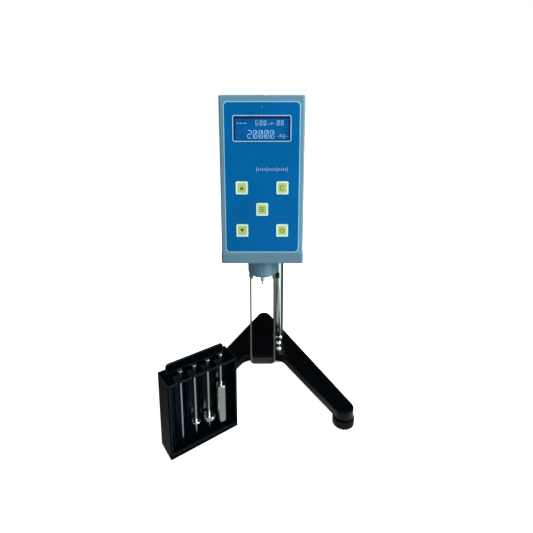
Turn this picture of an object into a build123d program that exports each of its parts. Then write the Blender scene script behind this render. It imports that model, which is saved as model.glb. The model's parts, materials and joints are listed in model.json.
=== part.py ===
"""Rotational viscometer: a V base on levelling feet, a rack column, a head that climbs it, a spindle case.

Millimetres, +Z up, front towards -Y. Lengths along x and y are measured from the spindle axis unless a
name says otherwise. The origin is the middle of the whole footprint, at bench height.
"""

import os
from math import acos, atan2, cos, hypot, pi, radians, sin, sqrt, tan

from build123d import *

os.makedirs("parts", exist_ok=True)

# ------------------------------------------------------------------ clearances
running_gap = 0.05  # radial, between pieces that turn or slide on each other
passing_gap = 0.3  # between pieces that only pass each other
face_gap = 0.05  # axial, between the faces of a turning piece and its seat

# ------------------------------------------------------------------ V base
base_top = 27.0
base_thickness = 12.0
base_edge_radius = 1.5
apex_y = 192.0
apex_radius = 12.0
arm_end_x = 115.3
arm_end_y = -49.8
arm_end_radius = 14.0
crotch_y = 67.7  # straight inner edge between the arms
crotch_half_width = 30.8
crotch_fillet = 20.0
stud_hole_depth = 9.5

# ------------------------------------------------------------------ levelling feet
rear_foot_y = 186.0
knob_radius = 15.4
knob_bottom = 1.5
knob_height = 11.0
knob_scallops = 20
knob_scallop_radius = 1.6
knob_edge_radius = 1.5
stud_chamfer = 0.8
pad_radius = 12.0
pad_thickness = 3.5
pad_socket_floor = 1.5
stud_radius = 4.0
stud_tip_radius = 2.5
stud_engagement = 7.0
foot_drop = 4.0  # how far a foot screws down
foot_rise = 2.0  # how far it screws up

# ------------------------------------------------------------------ column and rack
column_x = 26.1
column_y = 122.8
column_radius = 9.0
column_top = 410.0
column_chamfer = 1.5
collar_radius = 11.0
collar_height = 3.0
collar_chamfer = 0.8
foot_plate_thickness = 6.0
foot_plate_width = 26.0
foot_plate_chamfer = 2.0
foot_plate_margin = 5.5  # past the column and past the front screw
clamp_screw_pitch = 16.1
clamp_screw_first = 29.1  # column axis to the nearer screw
clamp_screw_radius = 2.5
clamp_head_radius = 4.5
clamp_head_height = 5.0
clamp_socket_flats = 4.0
clamp_socket_depth = 2.5
screw_head_chamfer = 0.4

gear_module = 1.0
pinion_teeth = 14
pressure_angle = radians(20.0)
rack_addendum = 0.75  # in modules; short, so that 14 teeth need no undercut
rack_dedendum = 1.25
pinion_addendum = 1.0
pinion_dedendum = 1.0
backlash = 0.12
flank_points = 5  # along each tooth flank above its base circle
rack_width = 6.0
rack_back = 4.2  # column axis to the groove's floor
rack_tip_below_skin = 0.1  # under the column's skin at the rack's corners
rack_start = 60.0
rack_end = 400.0

# ------------------------------------------------------------------ head
head_width = 110.0
head_depth = 115.0
head_height = 225.6
head_bottom = 233.9
head_front = 29.6  # spindle axis to the front face
head_edge_radius = 2.5
cover_wall = 1.5
chassis_height = 14.7
chassis_lip = 0.7
chassis_edge_radius = 1.5
rear_panel_thickness = 2.0
rear_panel_corner = 1.5
panel_boss_depth = 5.0
board_post_inset = 5.0

# -------------------- front panel, distances below the head top unless said
overlay_width = 96.5
overlay_top = 8.5
overlay_foot = 2.9  # above the chassis
overlay_corner = 5.0
overlay_thickness = 0.5
led_down = 14.6
led_radius = 1.5
led_proud = 0.5
led_flat_radius = 0.4
window_down = 41.6
window_width = 75.6
window_height = 34.1
window_corner = 3.0
glass_down = 42.7
window_thickness = 1.0
window_chamfer = 0.3
glass_width = 69.0
glass_height = 28.0
key_width = 16.0
key_height = 17.6
key_corner = 1.8
key_thickness = 0.8
key_travel = 0.3
key_column = 26.7  # side keys, left and right of the middle
key_rows = (91.5, 62.2, 32.9)  # above the chassis
key_stem_radius = 2.5
key_edge_radius = 0.3
key_stem_end = 3.0  # behind the head's front wall

# ------------------------------------------------------------------ boards behind the front panel
front_board_standoff = 8.0
standoff_radius = 3.0
front_board_width = 92.0
front_board_margin = 8.7  # above and below, inside the cover
board_thickness = 1.6
lcd_frame_depth = 5.0
lcd_frame_border = 4.0
lcd_glass_recess = 1.0
lcd_hole_radius = 1.3
lcd_hole_pitch_x = 80.0
lcd_hole_pitch_y = 40.0
lcd_board_width = 86.0
lcd_board_height = 46.0
switch_side = 6.0
plunger_radius = 1.7
plunger_height = 0.6

# ------------------------------------------------------------------ drive inside the head
pillar_radius = 4.0
pillar_height = 60.0
pillar_x = 32.0
pillar_front_y = -9.0
pillar_rear_y = 44.0
gear_plate_thickness = 5.0
gear_plate_margin = 6.0
gear_plate_corner = 5.0
gearbox_radius = 16.0
gearbox_height = 20.0
motor_radius = 14.0
motor_height = 35.0
motor_chamfer = 1.0
motor_boss_radius = 4.0
motor_boss_height = 2.0
drive_shaft_radius = 2.5
drive_shaft_in_gearbox = 10.0
encoder_radius = 15.0
encoder_thickness = 1.0
encoder_slots = 24
encoder_slot_length = 2.4
encoder_slot_width = 1.0
encoder_slot_inset = 2.6  # rim to the slot's middle
drive_hub_radius = 6.0
drive_hub_height = 5.0
drive_hub_drop = 5.5  # gear plate's lower face to the drive disc's top
shaft_below_hub = 1.0
lower_disc_drop = 5.0  # under the spring
pivot_hub_drop = 6.0
spring_outer_radius = 10.5
spring_inner_radius = 3.6
spring_turns = 4.0
spring_points = 16  # per turn
spring_strip = 0.3
spring_height = 3.0
spring_drop = 8.0  # drive hub's lower face to the spring's lower edge
spring_post_radius = 0.8
pivot_radius = 2.0
pivot_spigot_radius = 1.0
pivot_spigot_length = 3.5
pivot_hub_radius = 3.6
bearing_radius = 10.0
reader_width = 10.0
reader_slot_margin = 1.0
reader_reach = 9.0  # past the discs
reader_top_margin = 4.0

# ------------------------------------------------------------------ under the head
cup_radius = 20.8
cup_height = 26.6
cup_edge_radius = 4.5
cup_bore_radius = 14.0
cup_floor = 3.0
cup_hole_radius = 4.5
coupling_radius = 2.7
coupling_drop = 13.5  # below the cup
coupling_top_in_cup = 11.2
coupling_socket_depth = 9.0
stub_radius = 1.25
stub_length = 4.8
coupling_chamfer = 0.4
guard_width = 37.0
guard_strip_width = 12.0
guard_strip_thickness = 2.0
guard_bottom = 62.4
guard_corner = 6.0
lug_thickness = 2.5
lug_width = 8.0
lug_drop = 8.2
guard_screw_drop = 4.5
guard_screw_radius = 1.5
thumb_head_radius = 3.9
thumb_head_length = 6.0
thumb_scallops = 12
thumb_edge = 0.5
button_head_radius = 2.75
button_head_length = 1.2
button_fillet = 0.6

# ------------------------------------------------------------------ bracket, pinion and knob
bracket_flange_width = 60.0
bracket_flange_thickness = 8.0
bracket_height = 60.0
bracket_block_width = 38.0
bracket_rear_wall = 3.5
bracket_rear_radius = 8.0
bracket_screw_x = 25.0  # either side of the column
bracket_screw_radius = 2.5
bracket_head_radius = 4.25
bracket_head_height = 5.0
bracket_screw_bite = 2.0  # past the rear panel
pinion_pocket_gap = 0.6
pinion_shaft_radius = 3.0
shaft_tail = 8.0
bush_flange = 1.2
bush_flange_step = 1.6
lift_knob_radius = 15.0
lift_knob_length = 16.0
lift_knob_scallops = 18
lift_knob_edge = 1.5
knob_wall = 1.0  # left over a blind bore
lock_height = 47.0  # above the bracket's lower face
lock_screw_radius = 3.0
lock_knob_radius = 8.0
lock_knob_length = 11.0
lock_knob_scallops = 12
lock_knob_edge = 1.0
scallop_offset = 1.08  # in knob radii
scallop_radius = 0.13

# ------------------------------------------------------------------ rear panel fittings
rear_fitting_down = 110.0  # from the top of the head to the middle of the row
switch_x = 30.0
switch_bezel_width = 24.0
switch_bezel_height = 17.0
switch_bezel_thickness = 1.8
switch_body_width = 20.0
switch_body_height = 13.0
switch_body_depth = 14.0
fitting_corner = 1.5  # of the bezel and the serial flange
rocker_width = 16.0
rocker_radius = 5.0
rocker_pocket_gap = 0.25
rocker_axis_depth = 1.5  # under the bezel's face
rocker_wing = radians(62.0)
rocker_dip = 0.6
rocker_angle = 10.0
inlet_x = 2.0
inlet_flange_radius = 7.0
inlet_flange_thickness = 2.0
inlet_barrel_radius = 5.5
inlet_barrel_depth = 14.0
inlet_bore_radius = 3.1
inlet_bore_depth = 9.0
inlet_pin_radius = 1.05
inlet_chamfer = 0.5
serial_x = -28.0
serial_flange_width = 31.0
serial_flange_height = 12.5
serial_flange_thickness = 1.0
serial_shell_width = 16.9
serial_shell_height = 8.3
serial_shell_length = 6.0
serial_shell_slant = 10.0
serial_body_depth = 10.0
serial_post_pitch = 25.0
serial_post_flats = 5.0
serial_post_length = 5.0
serial_post_shank = 1.4
serial_post_bore = 1.1
main_board_width = 96.0
main_board_height = 90.0
panel_screw_inset = 6.0
panel_screw_radius = 1.5
panel_head_radius = 2.8
panel_head_height = 1.8
panel_head_fillet = 0.9
panel_screw_length = 6.0
cross_length = 3.0
cross_width = 0.7
cross_depth = 1.0

# ------------------------------------------------------------------ bull's-eye level on the head
level_y = 25.0
level_flange_radius = 11.0
level_flange_thickness = 0.3
level_radius = 8.5
level_depth = 8.0
level_wall = 1.2
level_glass_recess = 0.2

# ------------------------------------------------------------------ spindle case
case_corner_x = -116.1
case_corner_y = -112.2
case_turn = 35.4  # of the case's length, from +X towards +Y
case_length = 99.5
case_depth = 34.0
case_height = 107.0
case_wall = 2.5
case_lip = 6.0
case_edge_radius = 1.2
flange_height = 12.5
flange_back = 24.0  # front of the case to the upstand's front
flange_inset = 8.0
flange_corner = 4.0
slot_back = 11.0  # front of the case to the spindle rods
slot_first = 21.7
slot_pitch = 19.4
slot_width = 3.7
slot_count = 4
slot_jog = 7.0
channel_radius = 10.6
channel_ridge_flat = 0.4

# ------------------------------------------------------------------ spindles
rod_radius = 1.6
neck_radius = 2.2
neck_height = 6.4
spindle_head_radius = 3.4
spindle_head_height = 2.0
spindle_thread_radius = 1.3
spindle_thread_depth = 4.0
rod_tip = 5.0  # lowest points above the bench
thin_disc_tip = 9.0
thick_disc_tip = 10.0
cylinder_tip = 3.5
tip_radius = 0.9
cylinder_radius = 7.2
cylinder_height = 55.0
thick_disc_radius = 8.4
thick_disc_height = 4.8
thin_disc_radius = 5.9
thin_disc_height = 1.7
below_thin_disc = 20.0  # rod left below the body
below_thick_disc = 15.0
below_cylinder = 10.5
point_height = 1.2  # of the rod's tapered end
thin_stretch = 10.0  # of the plain rod's slim end
body_chamfer = 0.3
head_chamfer = 0.4

# ------------------------------------------------------------------ worked out from the sizes above
chassis_top = head_bottom + chassis_height
head_top = head_bottom + head_height
head_back = head_depth - head_front
cover_back = head_back - rear_panel_thickness
cover_inner_front = cover_wall - head_front
base_bottom = base_top - base_thickness
cup_bottom = head_bottom - cup_height

turn = radians(case_turn)
case_far_left = (case_corner_x - case_depth * sin(turn), case_corner_y + case_depth * cos(turn))
left_end = min(case_far_left[0], -arm_end_x - knob_radius)
right_end = arm_end_x + knob_radius
front_end = case_corner_y
rear_end = apex_y + apex_radius
axis_x = -(left_end + right_end) / 2
axis_y = -(front_end + rear_end) / 2

bench = Plane((axis_x, axis_y, 0))


def level(height):
    """The horizontal plane at a height, centred on the spindle axis."""
    return bench.offset(height)


def facing_front(y, x=0.0):
    """An upright plane across the head: its x is x, its y is the height, and it faces the front."""
    return Plane((axis_x + x, axis_y + y, 0), x_dir=(1, 0, 0), z_dir=(0, -1, 0))


def facing_right(x):
    """An upright plane along the head: its x is y, its y is the height, and it faces the right."""
    return Plane((axis_x + x, axis_y, 0), x_dir=(0, 1, 0), z_dir=(1, 0, 0))


def upright(x, y):
    """The upright line through (x, y)."""
    return Axis((axis_x + x, axis_y + y, 0), (0, 0, 1))


def turned(x, y, outline):
    """A piece turned about the upright line through (x, y), from (radius, height) corners."""
    with BuildPart() as piece:
        with BuildSketch(facing_front(y, x)):
            with BuildLine():
                Polyline(*outline, close=True)
            make_face()
        revolve(axis=upright(x, y))
    return piece.part


# ================================================================== V base
def outer_tangent():
    """Where the straight outer edge of the right arm leaves the apex and meets the arm's end."""
    run_x, run_y = arm_end_x, arm_end_y - apex_y
    run = hypot(run_x, run_y)
    angle = atan2(run_y, run_x) + acos((apex_radius - arm_end_radius) / run)
    out = (cos(angle), sin(angle))
    start = (apex_radius * out[0], apex_y + apex_radius * out[1])
    end = (arm_end_x + arm_end_radius * out[0], arm_end_y + arm_end_radius * out[1])
    return start, end


def inner_tangent():
    """Where the straight inner edge of the right arm meets the arm's end."""
    run_x, run_y = crotch_half_width - arm_end_x, crotch_y - arm_end_y
    angle = atan2(run_y, run_x) + acos(arm_end_radius / hypot(run_x, run_y))
    return arm_end_x + arm_end_radius * cos(angle), arm_end_y + arm_end_radius * sin(angle)


def arm_tip(start, end):
    """The middle of the arc round the right arm's end."""
    middle = atan2((start[1] + end[1]) / 2 - arm_end_y, (start[0] + end[0]) / 2 - arm_end_x)
    return arm_end_x + arm_end_radius * cos(middle), arm_end_y + arm_end_radius * sin(middle)


foot_places = {
    "left": (-arm_end_x, arm_end_y),
    "right": (arm_end_x, arm_end_y),
    "rear": (0.0, rear_foot_y),
}
clamp_screw_y = [column_y - clamp_screw_first - i * clamp_screw_pitch for i in range(2)]

with BuildPart() as base:
    with BuildSketch(level(base_bottom)) as base_outline:
        with BuildLine():
            outer_start, outer_end = outer_tangent()
            inner_end = inner_tangent()
            ThreePointArc((-outer_start[0], outer_start[1]), (0, apex_y + apex_radius), outer_start)
            for side in (-1, 1):
                Line((side * outer_start[0], outer_start[1]), (side * outer_end[0], outer_end[1]))
                tip = arm_tip(outer_end, inner_end)
                ThreePointArc(
                    (side * outer_end[0], outer_end[1]),
                    (side * tip[0], tip[1]),
                    (side * inner_end[0], inner_end[1]),
                )
                Line((side * inner_end[0], inner_end[1]), (side * crotch_half_width, crotch_y))
            Line((-crotch_half_width, crotch_y), (crotch_half_width, crotch_y))
        make_face()
        crotch = [v for v in base_outline.vertices() if abs(v.Y - crotch_y) < 0.01]
        fillet(crotch, crotch_fillet)
    extrude(amount=base_thickness)
    fillet(base.edges().filter_by(Plane.XY).group_by(Axis.Z)[-1], base_edge_radius)
    with Locations(*[(x + axis_x, y + axis_y, base_bottom) for x, y in foot_places.values()]):
        Cylinder(
            stud_radius + running_gap,
            stud_hole_depth,
            align=(Align.CENTER, Align.CENTER, Align.MIN),
            mode=Mode.SUBTRACT,
        )
    with BuildSketch(level(base_bottom)):
        with Locations((column_x, column_y)):
            Circle(column_radius)
        with Locations(*[(column_x, y) for y in clamp_screw_y]):
            Circle(clamp_screw_radius)
    extrude(amount=base_thickness, mode=Mode.SUBTRACT)
base.part.label = "base"
export_step(base.part, "parts/base.step")

# ------------------------------------------------------------------ levelling feet
stud_top = base_bottom + stud_engagement

for place, (foot_x, foot_y) in foot_places.items():
    with BuildPart() as pad:
        with BuildSketch(level(0)):
            with Locations((foot_x, foot_y)):
                Circle(pad_radius)
        extrude(amount=pad_thickness)
        with BuildSketch(level(pad_socket_floor)):
            with Locations((foot_x, foot_y)):
                Circle(stud_tip_radius + running_gap)
        extrude(amount=pad_thickness, mode=Mode.SUBTRACT)
    pad.part.label = f"{place}_foot_pad"
    export_step(pad.part, f"parts/{pad.part.label}.step")

    with BuildPart() as knob:
        with BuildSketch(level(knob_bottom)):
            with Locations((foot_x, foot_y)):
                Circle(knob_radius)
        extrude(amount=knob_height)
        fillet(knob.edges().group_by(Axis.Z)[-1], knob_edge_radius)
        with BuildSketch(level(knob_bottom)):
            with Locations((foot_x, foot_y)):
                with PolarLocations(knob_radius + 0.5 * knob_scallop_radius, knob_scallops):
                    Circle(knob_scallop_radius)
        extrude(amount=knob_height, mode=Mode.SUBTRACT)
        with BuildSketch(level(knob_bottom)):
            with Locations((foot_x, foot_y)):
                Circle(pad_radius + passing_gap)
        extrude(amount=pad_thickness + face_gap - knob_bottom, mode=Mode.SUBTRACT)
        with BuildSketch(level(pad_thickness + face_gap)):
            with Locations((foot_x, foot_y)):
                Circle(stud_radius)
        extrude(amount=stud_top - pad_thickness - face_gap)
        chamfer(knob.faces().sort_by(Axis.Z)[-1].edges(), stud_chamfer)
        with BuildSketch(level(pad_socket_floor + face_gap)):
            with Locations((foot_x, foot_y)):
                Circle(stud_tip_radius)
        extrude(amount=pad_thickness - pad_socket_floor)
    knob.part.label = f"{place}_foot_knob"
    export_step(knob.part, f"parts/{knob.part.label}.step")

# ================================================================== column
foot_plate_bottom = base_bottom - foot_plate_thickness
rack_tip = sqrt(column_radius**2 - (rack_width / 2) ** 2) - rack_tip_below_skin
rack_pitch_line = rack_tip - rack_addendum * gear_module
rack_pitch = pi * gear_module
rack_root = rack_pitch_line - rack_dedendum * gear_module

column = turned(
    column_x,
    column_y,
    [
        (0, foot_plate_bottom),
        (column_radius, foot_plate_bottom),
        (column_radius, column_top - column_chamfer),
        (column_radius - column_chamfer, column_top),
        (0, column_top),
    ],
)
with BuildPart() as rack_column:
    add(column)
    with BuildSketch(level(rack_start)):
        with Locations((column_x, column_y + rack_back)):
            Rectangle(rack_width, column_radius, align=(Align.CENTER, Align.MIN))
    extrude(amount=rack_end - rack_start, mode=Mode.SUBTRACT)
rack_column.part.label = "column"
export_step(rack_column.part, "parts/column.step")

with BuildPart() as collar:
    with BuildSketch(level(base_top)):
        with Locations((column_x, column_y)):
            Circle(collar_radius)
            Circle(column_radius, mode=Mode.SUBTRACT)
    extrude(amount=collar_height)
    collar_rim = collar.edges().group_by(Axis.Z)[-1].sort_by(SortBy.RADIUS)[-1]
    chamfer(collar_rim, collar_chamfer)
collar.part.label = "column_collar"
export_step(collar.part, "parts/column_collar.step")

with BuildPart() as foot_plate:
    plate_front = clamp_screw_y[-1] - foot_plate_margin
    plate_back = column_y + column_radius + foot_plate_margin
    with BuildSketch(level(foot_plate_bottom)):
        with Locations((column_x, plate_front)):
            Rectangle(foot_plate_width, plate_back - plate_front, align=(Align.CENTER, Align.MIN))
        with Locations((column_x, column_y)):
            Circle(column_radius, mode=Mode.SUBTRACT)
        with Locations(*[(column_x, y) for y in clamp_screw_y]):
            Circle(clamp_screw_radius, mode=Mode.SUBTRACT)
    extrude(amount=foot_plate_thickness)
    plate_corners = foot_plate.edges().filter_by(Axis.Z)
    chamfer(plate_corners.group_by(Axis.X)[0] + plate_corners.group_by(Axis.X)[-1], foot_plate_chamfer)
foot_plate.part.label = "column_foot_plate"
export_step(foot_plate.part, "parts/column_foot_plate.step")


def cap_screw(plane, shank_radius, shank_length, head_radius, head_height, flats, socket_depth):
    """A socket-head screw: its head stands on the plane and its shank goes the other way."""
    with BuildPart(plane) as screw:
        with BuildSketch(plane):
            Circle(head_radius)
        extrude(amount=head_height)
        chamfer(screw.faces().sort_by(Axis(plane.origin, plane.z_dir))[-1].edges(), screw_head_chamfer)
        with BuildSketch(plane.offset(head_height)):
            RegularPolygon(flats / sqrt(3), 6)
        extrude(amount=-socket_depth, mode=Mode.SUBTRACT)
        with BuildSketch(plane):
            Circle(shank_radius)
        extrude(amount=-shank_length)
    return screw.part


clamp_screws = Compound(
    children=[
        cap_screw(
            Plane((axis_x + column_x, axis_y + y, base_top)),
            clamp_screw_radius,
            base_thickness + foot_plate_thickness,
            clamp_head_radius,
            clamp_head_height,
            clamp_socket_flats,
            clamp_socket_depth,
        )
        for y in clamp_screw_y
    ],
    label="column_clamp_screws",
)
export_step(clamp_screws, "parts/column_clamp_screws.step")

# ------------------------------------------------------------------ rack and pinion
pinion_pitch_radius = gear_module * pinion_teeth / 2
pinion_y = column_y + rack_pitch_line + pinion_pitch_radius
pinion_width = rack_width - 2 * passing_gap
pinion_z = head_bottom + bracket_height / 2
half_tooth = (rack_pitch - backlash) / 4


def rack_profile():
    """Corners of the rack's toothed side, bottom to top, with a tooth gap level with the pinion."""
    slope = tan(pressure_angle)
    tip = column_y + rack_tip
    root = column_y + rack_root
    half_tip = half_tooth - slope * rack_addendum * gear_module
    half_root = half_tooth + slope * rack_dedendum * gear_module
    first = -int((pinion_z - rack_start) / rack_pitch - 1)
    last = int((rack_end - pinion_z) / rack_pitch - 1)
    corners = []
    for tooth in range(first, last + 1):
        middle = pinion_z + (tooth - 0.5) * rack_pitch
        corners += [(root, middle - half_root), (tip, middle - half_tip)]
        corners += [(tip, middle + half_tip), (root, middle + half_root)]
    return corners


with BuildPart() as rack:
    with BuildSketch(facing_right(column_x - rack_width / 2)):
        with BuildLine():
            teeth = rack_profile()
            back = column_y + rack_back
            front_side = column_y + rack_root
            Polyline(
                (back, rack_start),
                (front_side, rack_start),
                *teeth,
                (front_side, rack_end),
                (back, rack_end),
                close=True,
            )
        make_face()
    extrude(amount=rack_width)
rack.part.label = "column_rack"
export_step(rack.part, "parts/column_rack.step")


def involute(angle):
    return tan(angle) - angle


def pinion_profile():
    """Corners of an involute pinion round the origin, with one tooth pointing along -x."""
    base_radius = pinion_pitch_radius * cos(pressure_angle)
    root_radius = pinion_pitch_radius - pinion_dedendum * gear_module
    crest_radius = pinion_pitch_radius + pinion_addendum * gear_module
    half_at_pitch = half_tooth / pinion_pitch_radius + involute(pressure_angle)
    radii = [base_radius + (crest_radius - base_radius) * i / flank_points for i in range(flank_points + 1)]
    flank = [(root_radius, half_at_pitch)]
    flank += [(r, half_at_pitch - involute(acos(min(1.0, base_radius / r)))) for r in radii]
    corners = []
    for tooth in range(pinion_teeth):
        middle = pi + 2 * pi * tooth / pinion_teeth
        corners += [(r * cos(middle - a), r * sin(middle - a)) for r, a in flank]
        corners += [(r * cos(middle + a), r * sin(middle + a)) for r, a in reversed(flank)]
    return corners


block_left = column_x - bracket_block_width / 2
block_right = column_x + bracket_block_width / 2
pocket_radius = pinion_pitch_radius + pinion_addendum * gear_module + pinion_pocket_gap
block_back = pinion_y + pocket_radius + bracket_rear_wall
flange_back_y = head_back + bracket_flange_thickness
pocket_half = pinion_width / 2 + passing_gap
knob_seat = block_right + bush_flange + passing_gap
shaft_end = knob_seat + lift_knob_length - knob_wall
bush_start = sqrt((column_radius + passing_gap) ** 2 - (pinion_y - pocket_radius - column_y) ** 2)

with BuildPart() as pinion:
    with BuildSketch(facing_right(column_x - pinion_width / 2)):
        with BuildLine():
            Polyline(*[(y + pinion_y, z + pinion_z) for y, z in pinion_profile()], close=True)
        make_face()
    extrude(amount=pinion_width)
    with BuildSketch(facing_right(column_x - pinion_width / 2 - shaft_tail)):
        with Locations((pinion_y, pinion_z)):
            Circle(pinion_shaft_radius)
    extrude(amount=shaft_end - (column_x - pinion_width / 2 - shaft_tail))
pinion.part.label = "pinion_shaft"
export_step(pinion.part, "parts/pinion_shaft.step")

with BuildPart() as pinion_bush:
    with BuildSketch(facing_right(column_x + bush_start)):
        with Locations((pinion_y, pinion_z)):
            Circle(pocket_radius)
            Circle(pinion_shaft_radius + running_gap, mode=Mode.SUBTRACT)
    extrude(amount=block_right - column_x - bush_start)
    with BuildSketch(facing_right(block_right)):
        with Locations((pinion_y, pinion_z)):
            Circle(pocket_radius + bush_flange_step)
            Circle(pinion_shaft_radius + running_gap, mode=Mode.SUBTRACT)
    extrude(amount=bush_flange)
pinion_bush.part.label = "pinion_bush"
export_step(pinion_bush.part, "parts/pinion_bush.step")


def scalloped_knob(plane, radius, length, scallops, bore_radius, bore_depth, edge):
    """A hand knob standing on the plane, gripped by scallops, with a bore from its seat."""
    with BuildPart() as grip:
        with BuildSketch(plane):
            Circle(radius)
        extrude(amount=length)
        end = grip.faces().sort_by(Axis(plane.origin, plane.z_dir))[-1]
        fillet(end.edges(), edge)
        with BuildSketch(plane):
            with PolarLocations(scallop_offset * radius, scallops):
                Circle(scallop_radius * radius)
        extrude(amount=length, mode=Mode.SUBTRACT)
        with BuildSketch(plane):
            Circle(bore_radius)
        extrude(amount=bore_depth, mode=Mode.SUBTRACT)
    return grip.part


lift_knob = scalloped_knob(
    Plane((axis_x + knob_seat, axis_y + pinion_y, pinion_z), x_dir=(0, 1, 0), z_dir=(1, 0, 0)),
    lift_knob_radius,
    lift_knob_length,
    lift_knob_scallops,
    pinion_shaft_radius,
    lift_knob_length - knob_wall,
    lift_knob_edge,
)
lift_knob.label = "lift_knob"
export_step(lift_knob, "parts/lift_knob.step")

# ------------------------------------------------------------------ bracket behind the head
bracket_screws_at = [
    (column_x + side * bracket_screw_x, z)
    for side in (-1, 1)
    for z in (head_bottom + chassis_height / 2, head_bottom + bracket_height - chassis_height / 2)
]
lock_z = head_bottom + lock_height

with BuildPart() as bracket:
    with BuildSketch(level(head_bottom)):
        with Locations((column_x, head_back)):
            Rectangle(bracket_flange_width, bracket_flange_thickness, align=(Align.CENTER, Align.MIN))
            Rectangle(bracket_block_width, block_back - head_back, align=(Align.CENTER, Align.MIN))
    extrude(amount=bracket_height)
    upright_edges = bracket.edges().filter_by(Axis.Z)
    fillet(upright_edges.group_by(Axis.Y)[-1], bracket_rear_radius)
    with BuildSketch(level(head_bottom)):
        with Locations((column_x, column_y)):
            Circle(column_radius + running_gap)
    extrude(amount=bracket_height, mode=Mode.SUBTRACT)
    with BuildSketch(facing_right(column_x - pocket_half)):
        with Locations((pinion_y, pinion_z)):
            Circle(pocket_radius)
    extrude(amount=bracket_block_width, mode=Mode.SUBTRACT)
    with BuildSketch(facing_right(column_x)):
        with Locations((pinion_y, pinion_z)):
            Circle(pinion_shaft_radius + running_gap)
    extrude(amount=-(pinion_width / 2 + shaft_tail + passing_gap), mode=Mode.SUBTRACT)
    with BuildSketch(facing_right(column_x)):
        with Locations((column_y, lock_z)):
            Circle(lock_screw_radius + running_gap)
    extrude(amount=-bracket_block_width, mode=Mode.SUBTRACT)
    with BuildSketch(facing_front(head_back)):
        with Locations(*bracket_screws_at):
            Circle(bracket_screw_radius)
    extrude(amount=-bracket_flange_thickness, mode=Mode.SUBTRACT)
bracket.part.label = "lift_bracket"
export_step(bracket.part, "parts/lift_bracket.step")

lock_seat = block_left - passing_gap
lock_plane = Plane((axis_x + lock_seat, axis_y + column_y, lock_z), x_dir=(0, 1, 0), z_dir=(-1, 0, 0))
with BuildPart() as lock_knob:
    add(
        scalloped_knob(
            lock_plane,
            lock_knob_radius,
            lock_knob_length,
            lock_knob_scallops,
            lock_screw_radius,
            knob_wall,
            lock_knob_edge,
        )
    )
    with BuildSketch(lock_plane.offset(knob_wall)):
        Circle(lock_screw_radius)
    extrude(amount=-(knob_wall + column_x - column_radius - passing_gap - lock_seat))
lock_knob.part.label = "lock_knob"
export_step(lock_knob.part, "parts/lock_knob.step")

bracket_screws = Compound(
    children=[
        cap_screw(
            Plane(
                (axis_x + x, axis_y + flange_back_y, z),
                x_dir=(-1, 0, 0),
                z_dir=(0, 1, 0),
            ),
            bracket_screw_radius,
            bracket_flange_thickness + rear_panel_thickness + bracket_screw_bite,
            bracket_head_radius,
            bracket_head_height,
            clamp_socket_flats,
            clamp_socket_depth,
        )
        for x, z in bracket_screws_at
    ],
    label="bracket_screws",
)
export_step(bracket_screws, "parts/bracket_screws.step")

# ================================================================== head: chassis, cover and rear panel
overlay_front = head_front + overlay_thickness
key_spots = [
    (-key_column, chassis_top + key_rows[0]),
    (key_column, chassis_top + key_rows[0]),
    (0.0, chassis_top + key_rows[1]),
    (-key_column, chassis_top + key_rows[2]),
    (key_column, chassis_top + key_rows[2]),
]
key_names = ["left_upper_key", "right_upper_key", "middle_key", "left_lower_key", "right_lower_key"]
led_z = head_top - led_down
window_z = head_top - window_down
glass_z = head_top - glass_down
board_front = cover_inner_front + front_board_standoff
board_middle_z = (chassis_top + head_top - cover_wall) / 2
front_board_height = head_top - cover_wall - chassis_top - 2 * front_board_margin
standoff_spots = [
    (
        sx * (front_board_width / 2 - board_post_inset),
        board_middle_z + sz * (front_board_height / 2 - board_post_inset),
    )
    for sx in (-1, 1)
    for sz in (-1, 1)
]
pillar_spots = [(sx * pillar_x, y) for sx in (-1, 1) for y in (pillar_front_y, pillar_rear_y)]
bracket_holes_low = bracket_screws_at[::2]
bracket_holes_high = bracket_screws_at[1::2]
bracket_bite = rear_panel_thickness + bracket_screw_bite
panel_screw_x = head_width / 2 - panel_screw_inset
panel_screw_spots = [
    (-panel_screw_x, chassis_top + panel_screw_inset),  # the bracket's screws hold the other lower corner
    (-panel_screw_x, (chassis_top + head_top) / 2),
    (panel_screw_x, (chassis_top + head_top) / 2),
    (-panel_screw_x, head_top - panel_screw_inset),
    (panel_screw_x, head_top - panel_screw_inset),
]

with BuildPart() as chassis:
    with BuildSketch(level(head_bottom)):
        with Locations((0, -head_front - chassis_lip)):
            Rectangle(
                head_width + 2 * chassis_lip,
                head_depth + chassis_lip,
                align=(Align.CENTER, Align.MIN),
            )
    extrude(amount=chassis_height)
    fillet(chassis.edges().filter_by(Axis.Z).group_by(Axis.Y)[0], head_edge_radius + chassis_lip)
    fillet(chassis.edges().group_by(Axis.Z)[0].filter_by(Plane.XY), chassis_edge_radius)
    with BuildSketch(level(head_bottom)):
        Circle(bearing_radius)
    extrude(amount=chassis_height, mode=Mode.SUBTRACT)
    with BuildSketch(facing_front(head_back)):
        with Locations(*bracket_holes_low):
            Circle(bracket_screw_radius)
    extrude(amount=bracket_bite, mode=Mode.SUBTRACT)
chassis.part.label = "chassis_plate"
export_step(chassis.part, "parts/chassis_plate.step")

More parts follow.
